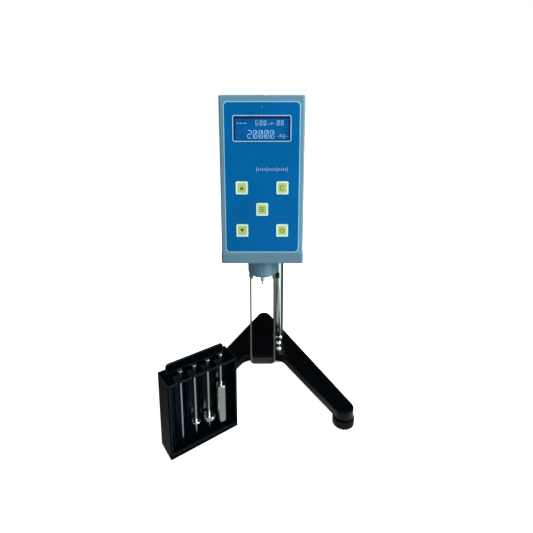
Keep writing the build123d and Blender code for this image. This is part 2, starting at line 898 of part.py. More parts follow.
with BuildPart() as cover:
    with BuildSketch(level(chassis_top)):
        with Locations((0, -head_front)):
            Rectangle(head_width, cover_back + head_front, align=(Align.CENTER, Align.MIN))
    extrude(amount=head_top - chassis_top)
    fillet(cover.edges().filter_by(Axis.Z).group_by(Axis.Y)[0], head_edge_radius)
    top_edges = cover.edges().filter_by(Plane.XY).group_by(Axis.Z)[-1]
    fillet(top_edges.sort_by(Axis.Y)[:-1], head_edge_radius - 1)
    with BuildSketch(level(chassis_top)):
        with Locations((0, cover_inner_front)):
            Rectangle(
                head_width - 2 * cover_wall, cover_back - cover_inner_front, align=(Align.CENTER, Align.MIN)
            )
    extrude(amount=head_top - cover_wall - chassis_top, mode=Mode.SUBTRACT)
    with BuildSketch(facing_front(cover_inner_front)):
        with Locations(*standoff_spots):
            Circle(standoff_radius)
    extrude(amount=-front_board_standoff)
    with BuildSketch(facing_front(cover_inner_front)):
        with Locations((0, glass_z)):
            Rectangle(glass_width, glass_height)
        with Locations(*key_spots):
            Circle(key_stem_radius + passing_gap)
        with Locations((0, led_z)):
            Circle(led_radius)
    extrude(amount=cover_wall, mode=Mode.SUBTRACT)
    with BuildSketch(level(head_top)):
        with Locations((0, level_y)):
            Circle(level_radius)
    extrude(amount=-cover_wall, mode=Mode.SUBTRACT)
    with BuildSketch(facing_front(cover_back)):
        with Locations(*panel_screw_spots):
            Rectangle(2 * panel_screw_inset - 2 * cover_wall, 2 * panel_screw_inset - 2 * cover_wall)
    extrude(amount=panel_boss_depth)
    with BuildSketch(facing_front(cover_back)):
        with Locations(*panel_screw_spots):
            Circle(panel_screw_radius)
    extrude(amount=panel_boss_depth, mode=Mode.SUBTRACT)
cover.part.label = "head_cover"
export_step(cover.part, "parts/head_cover.step")

# ------------------------------------------------------------------ rear panel and its fittings
fitting_z = head_top - rear_fitting_down
board_y = cover_back - inlet_barrel_depth - board_thickness

with BuildPart() as rear_panel:
    with BuildSketch(facing_front(head_back)):
        with Locations((0, chassis_top)):
            Rectangle(head_width, head_top - chassis_top, align=(Align.CENTER, Align.MIN))
        with Locations(*bracket_holes_high):
            Circle(bracket_screw_radius, mode=Mode.SUBTRACT)
        with Locations(*panel_screw_spots):
            Circle(panel_screw_radius, mode=Mode.SUBTRACT)
        with Locations((switch_x, fitting_z)):
            Rectangle(switch_body_width, switch_body_height, mode=Mode.SUBTRACT)
        with Locations((inlet_x, fitting_z)):
            Circle(inlet_barrel_radius, mode=Mode.SUBTRACT)
        with Locations((serial_x, fitting_z)):
            Rectangle(serial_shell_width, serial_shell_height, mode=Mode.SUBTRACT)
    extrude(amount=rear_panel_thickness)
    fillet(rear_panel.edges().filter_by(Axis.Y).group_by(Axis.Z)[-1], rear_panel_corner)
rear_panel.part.label = "rear_panel"
export_step(rear_panel.part, "parts/rear_panel.step")


def facing_rear(x, z):
    """The rear panel's outer face, centred on a fitting and facing the rear."""
    return Plane((axis_x + x, axis_y + head_back, z), x_dir=(-1, 0, 0), z_dir=(0, 1, 0))


rocker_pocket = rocker_radius + rocker_pocket_gap
rocker_axis_out = switch_bezel_thickness - rocker_axis_depth

with BuildPart() as switch_body:
    with BuildSketch(facing_rear(switch_x, fitting_z)):
        RectangleRounded(switch_bezel_width, switch_bezel_height, fitting_corner)
    extrude(amount=switch_bezel_thickness)
    with BuildSketch(facing_rear(switch_x, fitting_z)):
        Rectangle(switch_body_width, switch_body_height)
    extrude(amount=-switch_body_depth)
    with BuildSketch(facing_rear(switch_x, fitting_z).offset(switch_bezel_thickness)):
        Rectangle(rocker_width + 2 * rocker_pocket_gap, 2 * rocker_pocket)
    extrude(amount=-(switch_bezel_thickness - rocker_axis_out + rocker_pocket), mode=Mode.SUBTRACT)
switch_body.part.label = "power_switch_body"
export_step(switch_body.part, "parts/power_switch_body.step")

with BuildPart() as rocker:
    rocker_face = facing_right(switch_x - rocker_width / 2)
    pivot_y = head_back + rocker_axis_out
    with BuildSketch(rocker_face):
        with BuildLine():
            wing_y = pivot_y + rocker_radius * cos(rocker_wing)
            wing_rise = rocker_radius * sin(rocker_wing)
            low = (wing_y, fitting_z - wing_rise)
            high = (wing_y, fitting_z + wing_rise)
            dip = (wing_y - rocker_dip, fitting_z)
            ThreePointArc(high, (pivot_y - rocker_radius, fitting_z), low)
            Polyline(low, dip, high)
        make_face()
    extrude(amount=rocker_width)
rocker.part.label = "power_rocker"
export_step(rocker.part, "parts/power_rocker.step")

with BuildPart() as inlet:
    with BuildSketch(facing_rear(inlet_x, fitting_z)):
        Circle(inlet_flange_radius)
    extrude(amount=inlet_flange_thickness)
    chamfer(inlet.faces().sort_by(Axis.Y)[-1].edges(), inlet_chamfer)
    with BuildSketch(facing_rear(inlet_x, fitting_z)):
        Circle(inlet_barrel_radius)
    extrude(amount=-inlet_barrel_depth - rear_panel_thickness)
    with BuildSketch(facing_rear(inlet_x, fitting_z).offset(inlet_flange_thickness)):
        Circle(inlet_bore_radius)
        Circle(inlet_pin_radius, mode=Mode.SUBTRACT)
    extrude(amount=-inlet_bore_depth, mode=Mode.SUBTRACT)
inlet.part.label = "power_inlet"
export_step(inlet.part, "parts/power_inlet.step")

with BuildPart() as serial:
    with BuildSketch(facing_rear(serial_x, fitting_z)):
        RectangleRounded(serial_flange_width, serial_flange_height, fitting_corner)
    extrude(amount=serial_flange_thickness)
    with BuildSketch(facing_rear(serial_x, fitting_z).offset(serial_flange_thickness)):
        Trapezoid(serial_shell_width, serial_shell_height, 90 - serial_shell_slant)
    extrude(amount=serial_shell_length)
    with BuildSketch(facing_rear(serial_x, fitting_z)):
        Rectangle(serial_shell_width, serial_shell_height)
    extrude(amount=-serial_body_depth - rear_panel_thickness)
    with BuildSketch(facing_rear(serial_x, fitting_z)):
        with GridLocations(serial_post_pitch, 0, 2, 1):
            Circle(serial_post_shank)
    extrude(amount=serial_flange_thickness, mode=Mode.SUBTRACT)

serial_posts = []
for side in (-1, 1):
    post_plane = facing_rear(serial_x + side * serial_post_pitch / 2, fitting_z)
    with BuildPart() as post:
        with BuildSketch(post_plane.offset(serial_flange_thickness)):
            RegularPolygon(serial_post_flats / sqrt(3), 6)
            Circle(serial_post_bore, mode=Mode.SUBTRACT)
        extrude(amount=serial_post_length)
        with BuildSketch(post_plane):
            Circle(serial_post_shank)
        extrude(amount=serial_flange_thickness)
    serial_posts.append(post.part)
serial_socket = Compound(children=[serial.part, *serial_posts], label="serial_socket")
export_step(serial_socket, "parts/serial_socket.step")

panel_screws = []
for x, z in panel_screw_spots:
    head_plane = facing_rear(x, z)
    with BuildPart() as panel_screw:
        with BuildSketch(head_plane):
            Circle(panel_head_radius)
        extrude(amount=panel_head_height)
        fillet(panel_screw.faces().sort_by(Axis.Y)[-1].edges(), panel_head_fillet)
        with BuildSketch(head_plane.offset(panel_head_height)):
            Rectangle(cross_length, cross_width)
            Rectangle(cross_width, cross_length)
        extrude(amount=-cross_depth, mode=Mode.SUBTRACT)
        with BuildSketch(head_plane):
            Circle(panel_screw_radius)
        extrude(amount=-panel_screw_length)
    panel_screws.append(panel_screw.part)
panel_screws = Compound(children=panel_screws, label="rear_panel_screws")
export_step(panel_screws, "parts/rear_panel_screws.step")

with BuildPart() as main_board:
    with BuildSketch(facing_front(board_y)):
        with Locations((0, fitting_z)):
            Rectangle(main_board_width, main_board_height)
    extrude(amount=-board_thickness)
    with BuildSketch(facing_front(board_y + board_thickness)):
        with Locations((0, fitting_z)):
            with GridLocations(
                main_board_width - 2 * board_post_inset, main_board_height - 2 * board_post_inset, 2, 2
            ):
                Circle(standoff_radius)
    extrude(amount=-inlet_barrel_depth)
main_board.part.label = "main_board"
export_step(main_board.part, "parts/main_board.step")

# ------------------------------------------------------------------ front panel: overlay, window, keys, light
with BuildPart() as overlay:
    overlay_low = chassis_top + overlay_foot
    overlay_height = head_top - overlay_top - overlay_low
    with BuildSketch(facing_front(-head_front)):
        with Locations((0, overlay_low + overlay_height / 2)):
            RectangleRounded(overlay_width, overlay_height, overlay_corner)
        with Locations((0, window_z)):
            RectangleRounded(window_width, window_height, window_corner, mode=Mode.SUBTRACT)
        with Locations((0, led_z)):
            Circle(led_radius, mode=Mode.SUBTRACT)
        with Locations(*key_spots):
            RectangleRounded(
                key_width + 2 * passing_gap,
                key_height + 2 * passing_gap,
                key_corner + passing_gap,
                mode=Mode.SUBTRACT,
            )
    extrude(amount=overlay_thickness)
overlay.part.label = "front_overlay"
export_step(overlay.part, "parts/front_overlay.step")

with BuildPart() as window:
    with BuildSketch(facing_front(-head_front)):
        with Locations((0, window_z)):
            RectangleRounded(window_width, window_height, window_corner)
    extrude(amount=window_thickness)
    chamfer(window.faces().sort_by(Axis.Y)[0].edges(), window_chamfer)
window.part.label = "display_window"
export_step(window.part, "parts/display_window.step")

with BuildPart() as led:
    with BuildSketch(facing_front(board_front)):
        with Locations((0, led_z)):
            Circle(led_radius)
    extrude(amount=board_front + overlay_front + led_proud)
    fillet(led.faces().sort_by(Axis.Y)[0].edges(), led_radius - led_flat_radius)
led.part.label = "status_led"
export_step(led.part, "parts/status_led.step")

key_back = head_front + key_travel + face_gap
plunger_tip = cover_inner_front + key_stem_end + key_travel + face_gap
for name, (x, z) in zip(key_names, key_spots):
    with BuildPart() as key:
        with BuildSketch(facing_front(-key_back)):
            with Locations((x, z)):
                RectangleRounded(key_width, key_height, key_corner)
        extrude(amount=key_thickness)
        fillet(key.faces().sort_by(Axis.Y)[0].edges(), key_edge_radius)
        with BuildSketch(facing_front(-key_back)):
            with Locations((x, z)):
                Circle(key_stem_radius)
        extrude(amount=-(key_back + cover_inner_front + key_stem_end))
    key.part.label = name
    export_step(key.part, f"parts/{name}.step")

with BuildPart() as front_board:
    with BuildSketch(facing_front(board_front)):
        with Locations((0, board_middle_z)):
            Rectangle(front_board_width, front_board_height)
    extrude(amount=-board_thickness)

key_switches = []
for x, z in key_spots:
    with BuildPart() as key_switch:
        with BuildSketch(facing_front(board_front)):
            with Locations((x, z)):
                Rectangle(switch_side, switch_side)
        extrude(amount=board_front - plunger_tip - plunger_height)
        with BuildSketch(facing_front(plunger_tip + plunger_height)):
            with Locations((x, z)):
                Circle(plunger_radius)
        extrude(amount=plunger_height)
    key_switches.append(key_switch.part)
with BuildPart() as switched_board:
    add(front_board.part)
    add(key_switches)
switched_board.part.label = "front_board"
export_step(switched_board.part, "parts/front_board.step")

with BuildPart() as lcd_frame:
    with BuildSketch(facing_front(cover_inner_front + lcd_frame_depth)):
        with Locations((0, glass_z)):
            Rectangle(glass_width + 2 * lcd_frame_border, glass_height + 2 * lcd_frame_border)
            Rectangle(glass_width, glass_height, mode=Mode.SUBTRACT)
    extrude(amount=lcd_frame_depth)
    with BuildSketch(facing_front(board_front)):
        with Locations((0, glass_z)):
            Rectangle(lcd_board_width, lcd_board_height)
            with GridLocations(lcd_hole_pitch_x, lcd_hole_pitch_y, 2, 2):
                Circle(lcd_hole_radius, mode=Mode.SUBTRACT)
    extrude(amount=front_board_standoff - lcd_frame_depth)
lcd_frame.part.label = "display_module"
export_step(lcd_frame.part, "parts/display_module.step")

with BuildPart() as lcd_glass:
    with BuildSketch(facing_front(cover_inner_front + lcd_frame_depth)):
        with Locations((0, glass_z)):
            Rectangle(glass_width, glass_height)
    extrude(amount=lcd_frame_depth - lcd_glass_recess)
lcd_glass.part.label = "display_glass"
export_step(lcd_glass.part, "parts/display_glass.step")

# ------------------------------------------------------------------ drive: motor, torque spring and encoders
plate_bottom = chassis_top + pillar_height
plate_top = plate_bottom + gear_plate_thickness
hub_top = plate_bottom - drive_hub_drop
hub_bottom = hub_top - drive_hub_height
shaft_bottom = hub_bottom - shaft_below_hub
spigot_top = shaft_bottom + pivot_spigot_length
spring_bottom = hub_bottom - spring_drop
coupling_bottom = cup_bottom - coupling_drop
coupling_top = cup_bottom + coupling_top_in_cup
pivot_bottom = coupling_top - coupling_socket_depth
lower_disc_top = spring_bottom - lower_disc_drop
lower_hub_bottom = lower_disc_top - pivot_hub_drop

pillars = []
for x, y in pillar_spots:
    with BuildPart() as pillar:
        with BuildSketch(level(chassis_top)):
            with Locations((x, y)):
                Circle(pillar_radius)
        extrude(amount=pillar_height)
    pillars.append(pillar.part)
pillars = Compound(children=pillars, label="drive_pillars")
export_step(pillars, "parts/drive_pillars.step")

with BuildPart() as gear_plate:
    plate_length = pillar_rear_y - pillar_front_y + 2 * gear_plate_margin
    with BuildSketch(level(plate_bottom)):
        with Locations((0, pillar_front_y - gear_plate_margin)):
            Rectangle(2 * (pillar_x + gear_plate_margin), plate_length, align=(Align.CENTER, Align.MIN))
        Circle(drive_shaft_radius + passing_gap, mode=Mode.SUBTRACT)
    extrude(amount=gear_plate_thickness)
    fillet(gear_plate.edges().filter_by(Axis.Z).group_by(Axis.Y)[0], gear_plate_corner)
    fillet(gear_plate.edges().filter_by(Axis.Z).group_by(Axis.Y)[-1], gear_plate_corner)
gear_plate.part.label = "gear_plate"
export_step(gear_plate.part, "parts/gear_plate.step")

gearbox_top = plate_top + gearbox_height
gearbox_bore = drive_shaft_radius + running_gap
motor_top = gearbox_top + motor_height
gear_motor = turned(
    0,
    0,
    [
        (gearbox_bore, plate_top),
        (gearbox_radius, plate_top),
        (gearbox_radius, gearbox_top),
        (motor_radius, gearbox_top),
        (motor_radius, motor_top - motor_chamfer),
        (motor_radius - motor_chamfer, motor_top),
        (motor_boss_radius, motor_top),
        (motor_boss_radius, motor_top + motor_boss_height),
        (0, motor_top + motor_boss_height),
        (0, plate_top + drive_shaft_in_gearbox + face_gap),
        (gearbox_bore, plate_top + drive_shaft_in_gearbox + face_gap),
    ],
)
gear_motor.label = "gear_motor"
export_step(gear_motor, "parts/gear_motor.step")

spigot_bore = pivot_spigot_radius + running_gap
drive_shaft = turned(
    0,
    0,
    [
        (spigot_bore, shaft_bottom),
        (drive_shaft_radius, shaft_bottom),
        (drive_shaft_radius, plate_top + drive_shaft_in_gearbox),
        (0, plate_top + drive_shaft_in_gearbox),
        (0, spigot_top + face_gap),
        (spigot_bore, spigot_top + face_gap),
    ],
)
drive_shaft.label = "drive_shaft"
export_step(drive_shaft, "parts/drive_shaft.step")


def encoder_wheel(hub_radius, hub_base, hub_height, disc_base, bore_radius):
    """A slotted encoder disc on its hub."""
    with BuildPart() as wheel:
        with BuildSketch(level(hub_base)):
            Circle(hub_radius)
        extrude(amount=hub_height)
        with BuildSketch(level(disc_base)):
            Circle(encoder_radius)
            with PolarLocations(encoder_radius - encoder_slot_inset, encoder_slots):
                Rectangle(encoder_slot_length, encoder_slot_width, mode=Mode.SUBTRACT)
        extrude(amount=encoder_thickness)
        with BuildSketch(level(hub_base)):
            Circle(bore_radius)
        extrude(amount=hub_height + encoder_thickness, mode=Mode.SUBTRACT)
    return wheel.part


with BuildPart() as drive_disc:
    upper_disc = hub_top - encoder_thickness
    add(encoder_wheel(drive_hub_radius, hub_bottom, drive_hub_height, upper_disc, drive_shaft_radius))
    with BuildSketch(level(spring_bottom)):
        with Locations((spring_outer_radius - spring_post_radius, 0)):
            Circle(spring_post_radius)
    extrude(amount=upper_disc - spring_bottom)
drive_disc.part.label = "drive_encoder_disc"
export_step(drive_disc.part, "parts/drive_encoder_disc.step")


def spiral_point(fraction, side):
    """A point on one side of the torque spring's strip, from its collet (0) to its post (1)."""
    outer = spring_outer_radius - 2 * spring_post_radius - spring_strip / 2
    radius = spring_inner_radius + (outer - spring_inner_radius) * fraction
    radius += side * spring_strip / 2
    angle = 2 * pi * spring_turns * (fraction - 1)
    return radius * cos(angle), radius * sin(angle)


with BuildPart() as hairspring:
    with BuildSketch(level(spring_bottom)):
        with BuildLine():
            steps = int(spring_points * spring_turns)
            inner_side = [spiral_point(i / steps, -1) for i in range(steps + 1)]
            outer_side = [spiral_point(i / steps, 1) for i in range(steps + 1)]
            Spline(*inner_side)
            Line(inner_side[-1], outer_side[-1])
            Spline(*reversed(outer_side))
            Line(outer_side[0], inner_side[0])
        make_face()
    extrude(amount=spring_height)
hairspring.part.label = "torque_spring"
export_step(hairspring.part, "parts/torque_spring.step")

pivot_shaft = turned(
    0,
    0,
    [
        (0, pivot_bottom),
        (pivot_radius, pivot_bottom),
        (pivot_radius, shaft_bottom - face_gap),
        (pivot_spigot_radius, shaft_bottom - face_gap),
        (pivot_spigot_radius, spigot_top),
        (0, spigot_top),
    ],
)
pivot_shaft.label = "pivot_shaft"
export_step(pivot_shaft, "parts/pivot_shaft.step")

pivot_disc = encoder_wheel(
    pivot_hub_radius - spring_strip / 2 - running_gap,
    lower_hub_bottom,
    spring_bottom + spring_height - lower_hub_bottom,
    lower_disc_top - encoder_thickness,
    pivot_radius,
)
pivot_disc.label = "pivot_encoder_disc"
export_step(pivot_disc, "parts/pivot_encoder_disc.step")

bearing = turned(
    0,
    0,
    [
        (pivot_radius + running_gap, head_bottom),
        (bearing_radius, head_bottom),
        (bearing_radius, chassis_top),
        (pivot_radius + running_gap, chassis_top),
    ],
)
bearing.label = "pivot_bearing"
export_step(bearing, "parts/pivot_bearing.step")

with BuildPart() as reader:
    reader_inner = spring_outer_radius + 2 * reader_slot_margin
    reader_outer = encoder_radius + reader_reach
    reader_slot_depth = encoder_radius + reader_slot_margin - reader_inner
    with BuildSketch(level(chassis_top)):
        with Locations((reader_inner, 0)):
            Rectangle(reader_outer - reader_inner, reader_width, align=(Align.MIN, Align.CENTER))
    extrude(amount=hub_top + reader_top_margin - chassis_top)
    for disc_top in (hub_top, lower_disc_top):
        with BuildSketch(level(disc_top - encoder_thickness - reader_slot_margin)):
            with Locations((reader_inner, 0)):
                Rectangle(reader_slot_depth, reader_width, align=(Align.MIN, Align.CENTER))
        extrude(amount=encoder_thickness + 2 * reader_slot_margin, mode=Mode.SUBTRACT)
reader.part.label = "encoder_reader"
export_step(reader.part, "parts/encoder_reader.step")

# ------------------------------------------------------------------ bull's-eye level in the top of the head
level_cup = turned(
    0,
    level_y,
    [
        (level_radius - level_wall, head_top + level_flange_thickness),
        (level_flange_radius, head_top + level_flange_thickness),
        (level_flange_radius, head_top),
        (level_radius, head_top),
        (level_radius, head_top - level_depth),
        (0, head_top - level_depth),
        (0, head_top - level_depth + level_wall),
        (level_radius - level_wall, head_top - level_depth + level_wall),
    ],
)
level_cup.label = "bubble_level_cup"
export_step(level_cup, "parts/bubble_level_cup.step")

level_glass = turned(
    0,
    level_y,
    [
        (0, head_top - level_depth + level_wall),
        (level_radius - level_wall, head_top - level_depth + level_wall),
        (level_radius - level_wall, head_top + level_flange_thickness - level_glass_recess),
        (0, head_top + level_flange_thickness - level_glass_recess),
    ],
)
level_glass.label = "bubble_level_glass"
export_step(level_glass, "parts/bubble_level_glass.step")

# ================================================================== under the head: cup, coupling and guard
leg_outer = guard_width / 2
leg_inner = leg_outer - guard_strip_thickness
lug_bottom = cup_bottom - lug_drop
guard_screw_z = cup_bottom - guard_screw_drop

with BuildPart() as cup:
    with BuildSketch(level(cup_bottom)):
        Circle(cup_radius)
    extrude(amount=cup_height)
    fillet(cup.edges().filter_by(GeomType.CIRCLE).group_by(Axis.Z)[0], cup_edge_radius)
    with BuildSketch(level(cup_bottom + cup_floor)):
        Circle(cup_bore_radius)
    extrude(amount=cup_height, mode=Mode.SUBTRACT)
    with BuildSketch(level(lug_bottom)):
        for side in (-1, 1):
            with Locations((side * (leg_inner - lug_thickness / 2), 0)):
                Rectangle(lug_thickness, lug_width)
    extrude(amount=lug_drop + cup_floor / 2)
    with BuildSketch(level(cup_bottom)):
        Circle(cup_hole_radius)
    extrude(amount=cup_floor, mode=Mode.SUBTRACT)
    with BuildSketch(facing_right(-leg_inner)):
        with Locations((0, guard_screw_z)):
            Circle(guard_screw_radius)
    extrude(amount=2 * leg_inner, mode=Mode.SUBTRACT)
cup.part.label = "pivot_cup"
export_step(cup.part, "parts/pivot_cup.step")

coupling = turned(
    0,
    0,
    [
        (0, coupling_bottom - stub_length),
        (stub_radius - coupling_chamfer, coupling_bottom - stub_length),
        (stub_radius, coupling_bottom - stub_length + coupling_chamfer),
        (stub_radius, coupling_bottom),
        (coupling_radius - coupling_chamfer, coupling_bottom),
        (coupling_radius, coupling_bottom + coupling_chamfer),
        (coupling_radius, coupling_top),
        (pivot_radius, coupling_top),
        (pivot_radius, pivot_bottom),
        (0, pivot_bottom),
    ],
)
coupling.label = "spindle_coupling"
export_step(coupling, "parts/spindle_coupling.step")

with BuildPart() as guard:
    with BuildSketch(facing_front(-guard_strip_width / 2)):
        with Locations((0, guard_bottom)):
            Rectangle(guard_width, cup_bottom - guard_bottom, align=(Align.CENTER, Align.MIN))
    extrude(amount=-guard_strip_width)
    fillet(guard.edges().filter_by(Axis.Y).group_by(Axis.Z)[0], guard_corner)
    with BuildSketch(facing_front(-guard_strip_width / 2)) as inside:
        with Locations((0, guard_bottom + guard_strip_thickness)):
            Rectangle(2 * leg_inner, cup_bottom - guard_bottom, align=(Align.CENTER, Align.MIN))
        fillet(inside.vertices().group_by(Axis.Y)[0], guard_corner - guard_strip_thickness)
    extrude(amount=-guard_strip_width, mode=Mode.SUBTRACT)
    with BuildSketch(facing_right(-leg_outer)):
        with Locations((0, guard_screw_z)):
            Circle(guard_screw_radius)
    extrude(amount=2 * leg_outer, mode=Mode.SUBTRACT)
guard.part.label = "spindle_guard"
export_step(guard.part, "parts/spindle_guard.step")

with BuildPart() as thumb_screw:
    thumb_plane = Plane((axis_x + leg_outer, axis_y, guard_screw_z), x_dir=(0, 1, 0), z_dir=(1, 0, 0))
    add(
        scalloped_knob(
            thumb_plane,
            thumb_head_radius,
            thumb_head_length,
            thumb_scallops,
            guard_screw_radius,
            knob_wall,
            thumb_edge,
        )
    )
    with BuildSketch(thumb_plane.offset(knob_wall)):
        Circle(guard_screw_radius)
    extrude(amount=-(knob_wall + guard_strip_thickness + lug_thickness))

with BuildPart() as guard_screw:
    button_plane = Plane((axis_x - leg_outer, axis_y, guard_screw_z), x_dir=(0, -1, 0), z_dir=(-1, 0, 0))
    with BuildSketch(button_plane):
        Circle(button_head_radius)
    extrude(amount=button_head_length)
    fillet(guard_screw.faces().sort_by(Axis.X)[0].edges(), button_fillet)
    with BuildSketch(button_plane):
        Circle(guard_screw_radius)
    extrude(amount=-(guard_strip_thickness + lug_thickness))
guard_screws = Compound(children=[thumb_screw.part, guard_screw.part], label="guard_screws")
export_step(guard_screws, "parts/guard_screws.step")

# ================================================================== spindle case
case_plane = Plane(
    (axis_x + case_corner_x, axis_y + case_corner_y, 0),
    x_dir=(cos(turn), sin(turn), 0),
    z_dir=(0, 0, 1),
)


def across_case(back, height=0.0):
    """An upright plane along the case: its x runs along the case, its y up, and it faces the case's front."""
    origin = case_plane.from_local_coords((0, back, height))
    return Plane(origin, x_dir=case_plane.x_dir, z_dir=-case_plane.y_dir)


slot_spots = [slot_first + i * slot_pitch for i in range(slot_count)]
plate_under = case_height - case_wall
inside_length = case_length - 2 * case_wall
inside_back = case_depth - case_wall

with BuildPart() as case:
    with BuildSketch(case_plane):
        Rectangle(case_length, case_depth, align=(Align.MIN, Align.MIN))
    extrude(amount=case_height)
    fillet(case.edges().filter_by(Axis.Z), case_edge_radius)
    with BuildSketch(case_plane.offset(case_wall)):
        with Locations((case_wall, case_wall)):
            Rectangle(inside_length, inside_back - case_wall, align=(Align.MIN, Align.MIN))
    extrude(amount=plate_under - case_wall, mode=Mode.SUBTRACT)
    with BuildSketch(across_case(0)):
        with Locations((case_wall, case_lip)):
            Rectangle(inside_length, plate_under - case_lip, align=(Align.MIN, Align.MIN))
    extrude(amount=-case_wall, mode=Mode.SUBTRACT)
    with BuildSketch(across_case(flange_back)) as upstand:
        with Locations((flange_inset, case_height)):
            Rectangle(case_length - 2 * flange_inset, flange_height, align=(Align.MIN, Align.MIN))
        fillet(upstand.vertices().group_by(Axis.Y)[-1], flange_corner)
    extrude(amount=-case_wall)
    with BuildSketch(case_plane.offset(plate_under)):
        for spot in slot_spots:
            with Locations((spot, slot_back)):
                Circle(slot_width / 2)
                Rectangle(slot_jog, slot_width, align=(Align.MAX, Align.CENTER))
            with Locations((spot - slot_jog, slot_back)):
                Circle(slot_width / 2)
                Rectangle(slot_width, slot_back, align=(Align.CENTER, Align.MAX))
    extrude(amount=case_wall, mode=Mode.SUBTRACT)
case.part.label = "spindle_case"
export_step(case.part, "parts/spindle_case.step")

with BuildPart() as channels:
    ridge_front = slot_back + sqrt(channel_radius**2 - (slot_pitch / 2) ** 2) + channel_ridge_flat
    with BuildSketch(case_plane.offset(case_wall)):
        with Locations((case_wall, ridge_front)):
            Rectangle(inside_length, inside_back - ridge_front, align=(Align.MIN, Align.MIN))
        with Locations(*[(spot, slot_back) for spot in slot_spots]):
            Circle(channel_radius, mode=Mode.SUBTRACT)
    extrude(amount=plate_under - case_wall)
channels.part.label = "case_channels"
export_step(channels.part, "parts/case_channels.step")


# ------------------------------------------------------------------ the four spindles, hung in the case
def spindle(spot, tip, body):
    """A spindle hanging in the case; body is the (radius, height) corners of what its rod carries."""
    place = case_plane.from_local_coords((spot, slot_back, 0))
    neck_top = case_height + neck_height
    top = neck_top + spindle_head_height
    corners = [(0, tip), (tip_radius, tip)]
    corners += body
    corners += [
        (rod_radius, case_height),
        (neck_radius, case_height),
        (neck_radius, neck_top),
        (spindle_head_radius, neck_top),
        (spindle_head_radius, top - head_chamfer),
        (spindle_head_radius - head_chamfer, top),
        (spindle_thread_radius, top),
        (spindle_thread_radius, top - spindle_thread_depth),
        (0, top - spindle_thread_depth),
    ]
    return turned(place.X - axis_x, place.Y - axis_y, corners)


def slim_end(tip):
    """The corners of a rod's slim lower end."""
    return [(tip_radius, tip + thin_stretch), (rod_radius, tip + thin_stretch + point_height)]


def cylinder_body(tip, below, radius, height):
    """The corners of a body of one radius, and of the pointed rod below it."""
    low = tip + below
    high = low + height
    return [
        (rod_radius, tip + point_height),
        (rod_radius, low),
        (radius - body_chamfer, low),
        (radius, low + body_chamfer),
        (radius, high - body_chamfer),
        (radius - body_chamfer, high),
        (rod_radius, high),
    ]


thin_disc = cylinder_body(thin_disc_tip, below_thin_disc, thin_disc_radius, thin_disc_height)
thick_disc = cylinder_body(thick_disc_tip, below_thick_disc, thick_disc_radius, thick_disc_height)
cylinder = cylinder_body(cylinder_tip, below_cylinder, cylinder_radius, cylinder_height)
spindles = [
    ("rod_spindle", rod_tip, slim_end(rod_tip)),
    ("thin_disc_spindle", thin_disc_tip, thin_disc),
    ("thick_disc_spindle", thick_disc_tip, thick_disc),
    ("cylinder_spindle", cylinder_tip, cylinder),
]
for spot, (name, tip, body) in zip(slot_spots, spindles):
    hung = spindle(spot, tip, body)
    hung.label = name
    export_step(hung, f"parts/{name}.step")
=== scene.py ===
# %% [markdown]
# # Dressing a bench viscometer
# The shapes of this instrument come from its CAD model, which is loaded as a fixed frame. This lesson adds what
# the solids do not carry: paint, film, print, lit segments, small marks and the light they are seen in.
# Everything is in metres, with the keypad side towards -Y and the bench at z = 0.

# %% Load the frame
import json
from math import cos, pi, radians, sin

import bmesh
import bpy
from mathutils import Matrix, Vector


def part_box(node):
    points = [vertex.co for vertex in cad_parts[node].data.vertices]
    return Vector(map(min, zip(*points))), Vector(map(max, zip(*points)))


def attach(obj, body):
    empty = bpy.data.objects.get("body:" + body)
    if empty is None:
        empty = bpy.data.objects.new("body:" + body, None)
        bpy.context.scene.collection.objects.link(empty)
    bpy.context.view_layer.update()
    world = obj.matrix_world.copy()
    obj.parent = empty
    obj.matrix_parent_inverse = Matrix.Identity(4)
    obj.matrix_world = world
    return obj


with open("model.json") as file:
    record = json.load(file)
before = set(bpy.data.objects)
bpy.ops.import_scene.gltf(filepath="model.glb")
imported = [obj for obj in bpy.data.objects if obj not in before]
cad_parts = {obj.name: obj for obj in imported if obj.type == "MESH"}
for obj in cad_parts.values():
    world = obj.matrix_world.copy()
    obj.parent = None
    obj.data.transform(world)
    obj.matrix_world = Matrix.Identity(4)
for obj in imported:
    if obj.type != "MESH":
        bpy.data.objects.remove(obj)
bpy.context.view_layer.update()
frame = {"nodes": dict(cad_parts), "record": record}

# %% [markdown]
# ## Measuring on the frame
# A dressed piece has to sit on the solid that carries it. Instead of typing places again, each one is read from
# the box of its node, so that the print moves with the panel if the panel ever changes.

# %% Boxes, middles and colours
def middle(node):
    """The middle of a node's box."""
    low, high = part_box(node)
    return Vector(((low[0] + high[0]) / 2, (low[1] + high[1]) / 2, (low[2] + high[2]) / 2))


def size(node):
    """The size of a node's box."""
    low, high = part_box(node)
    return Vector((high[0] - low[0], high[1] - low[1], high[2] - low[2]))


def front(node):
    """How far forward a node's box reaches, as a y."""
    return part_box(node)[0][1]


def srgb(red, green, blue):
    """A colour as a paint chart gives it, 0 to 255, as the linear colour that a shader takes."""
    def linear(value):
        value /= 255
        return value / 12.92 if value <= 0.04045 else ((value + 0.055) / 1.055) ** 2.4
    return (linear(red), linear(green), linear(blue), 1.0)


axis = middle("spindle_coupling")
MM = 0.001
print("spindle axis at x %.4f, y %.4f" % (axis.x, axis.y))

# %% [markdown]
# ## The camera
# A bench instrument is usually shown from a little above its display, with the lens close enough that the base
# spreads towards the viewer. The camera looks level across and slightly down; a small lens shift lowers the
# frame, the way a view camera keeps uprights upright, instead of tilting further.

# %% Place the camera
CAMERA_FROM_AXIS = Vector((0.0078, -0.5530, 0.4611))
PITCH_DOWN = 11.5
SENSOR = 36.0
FOCAL_IN_FRAMES = 0.7662  # focal length over the frame's width

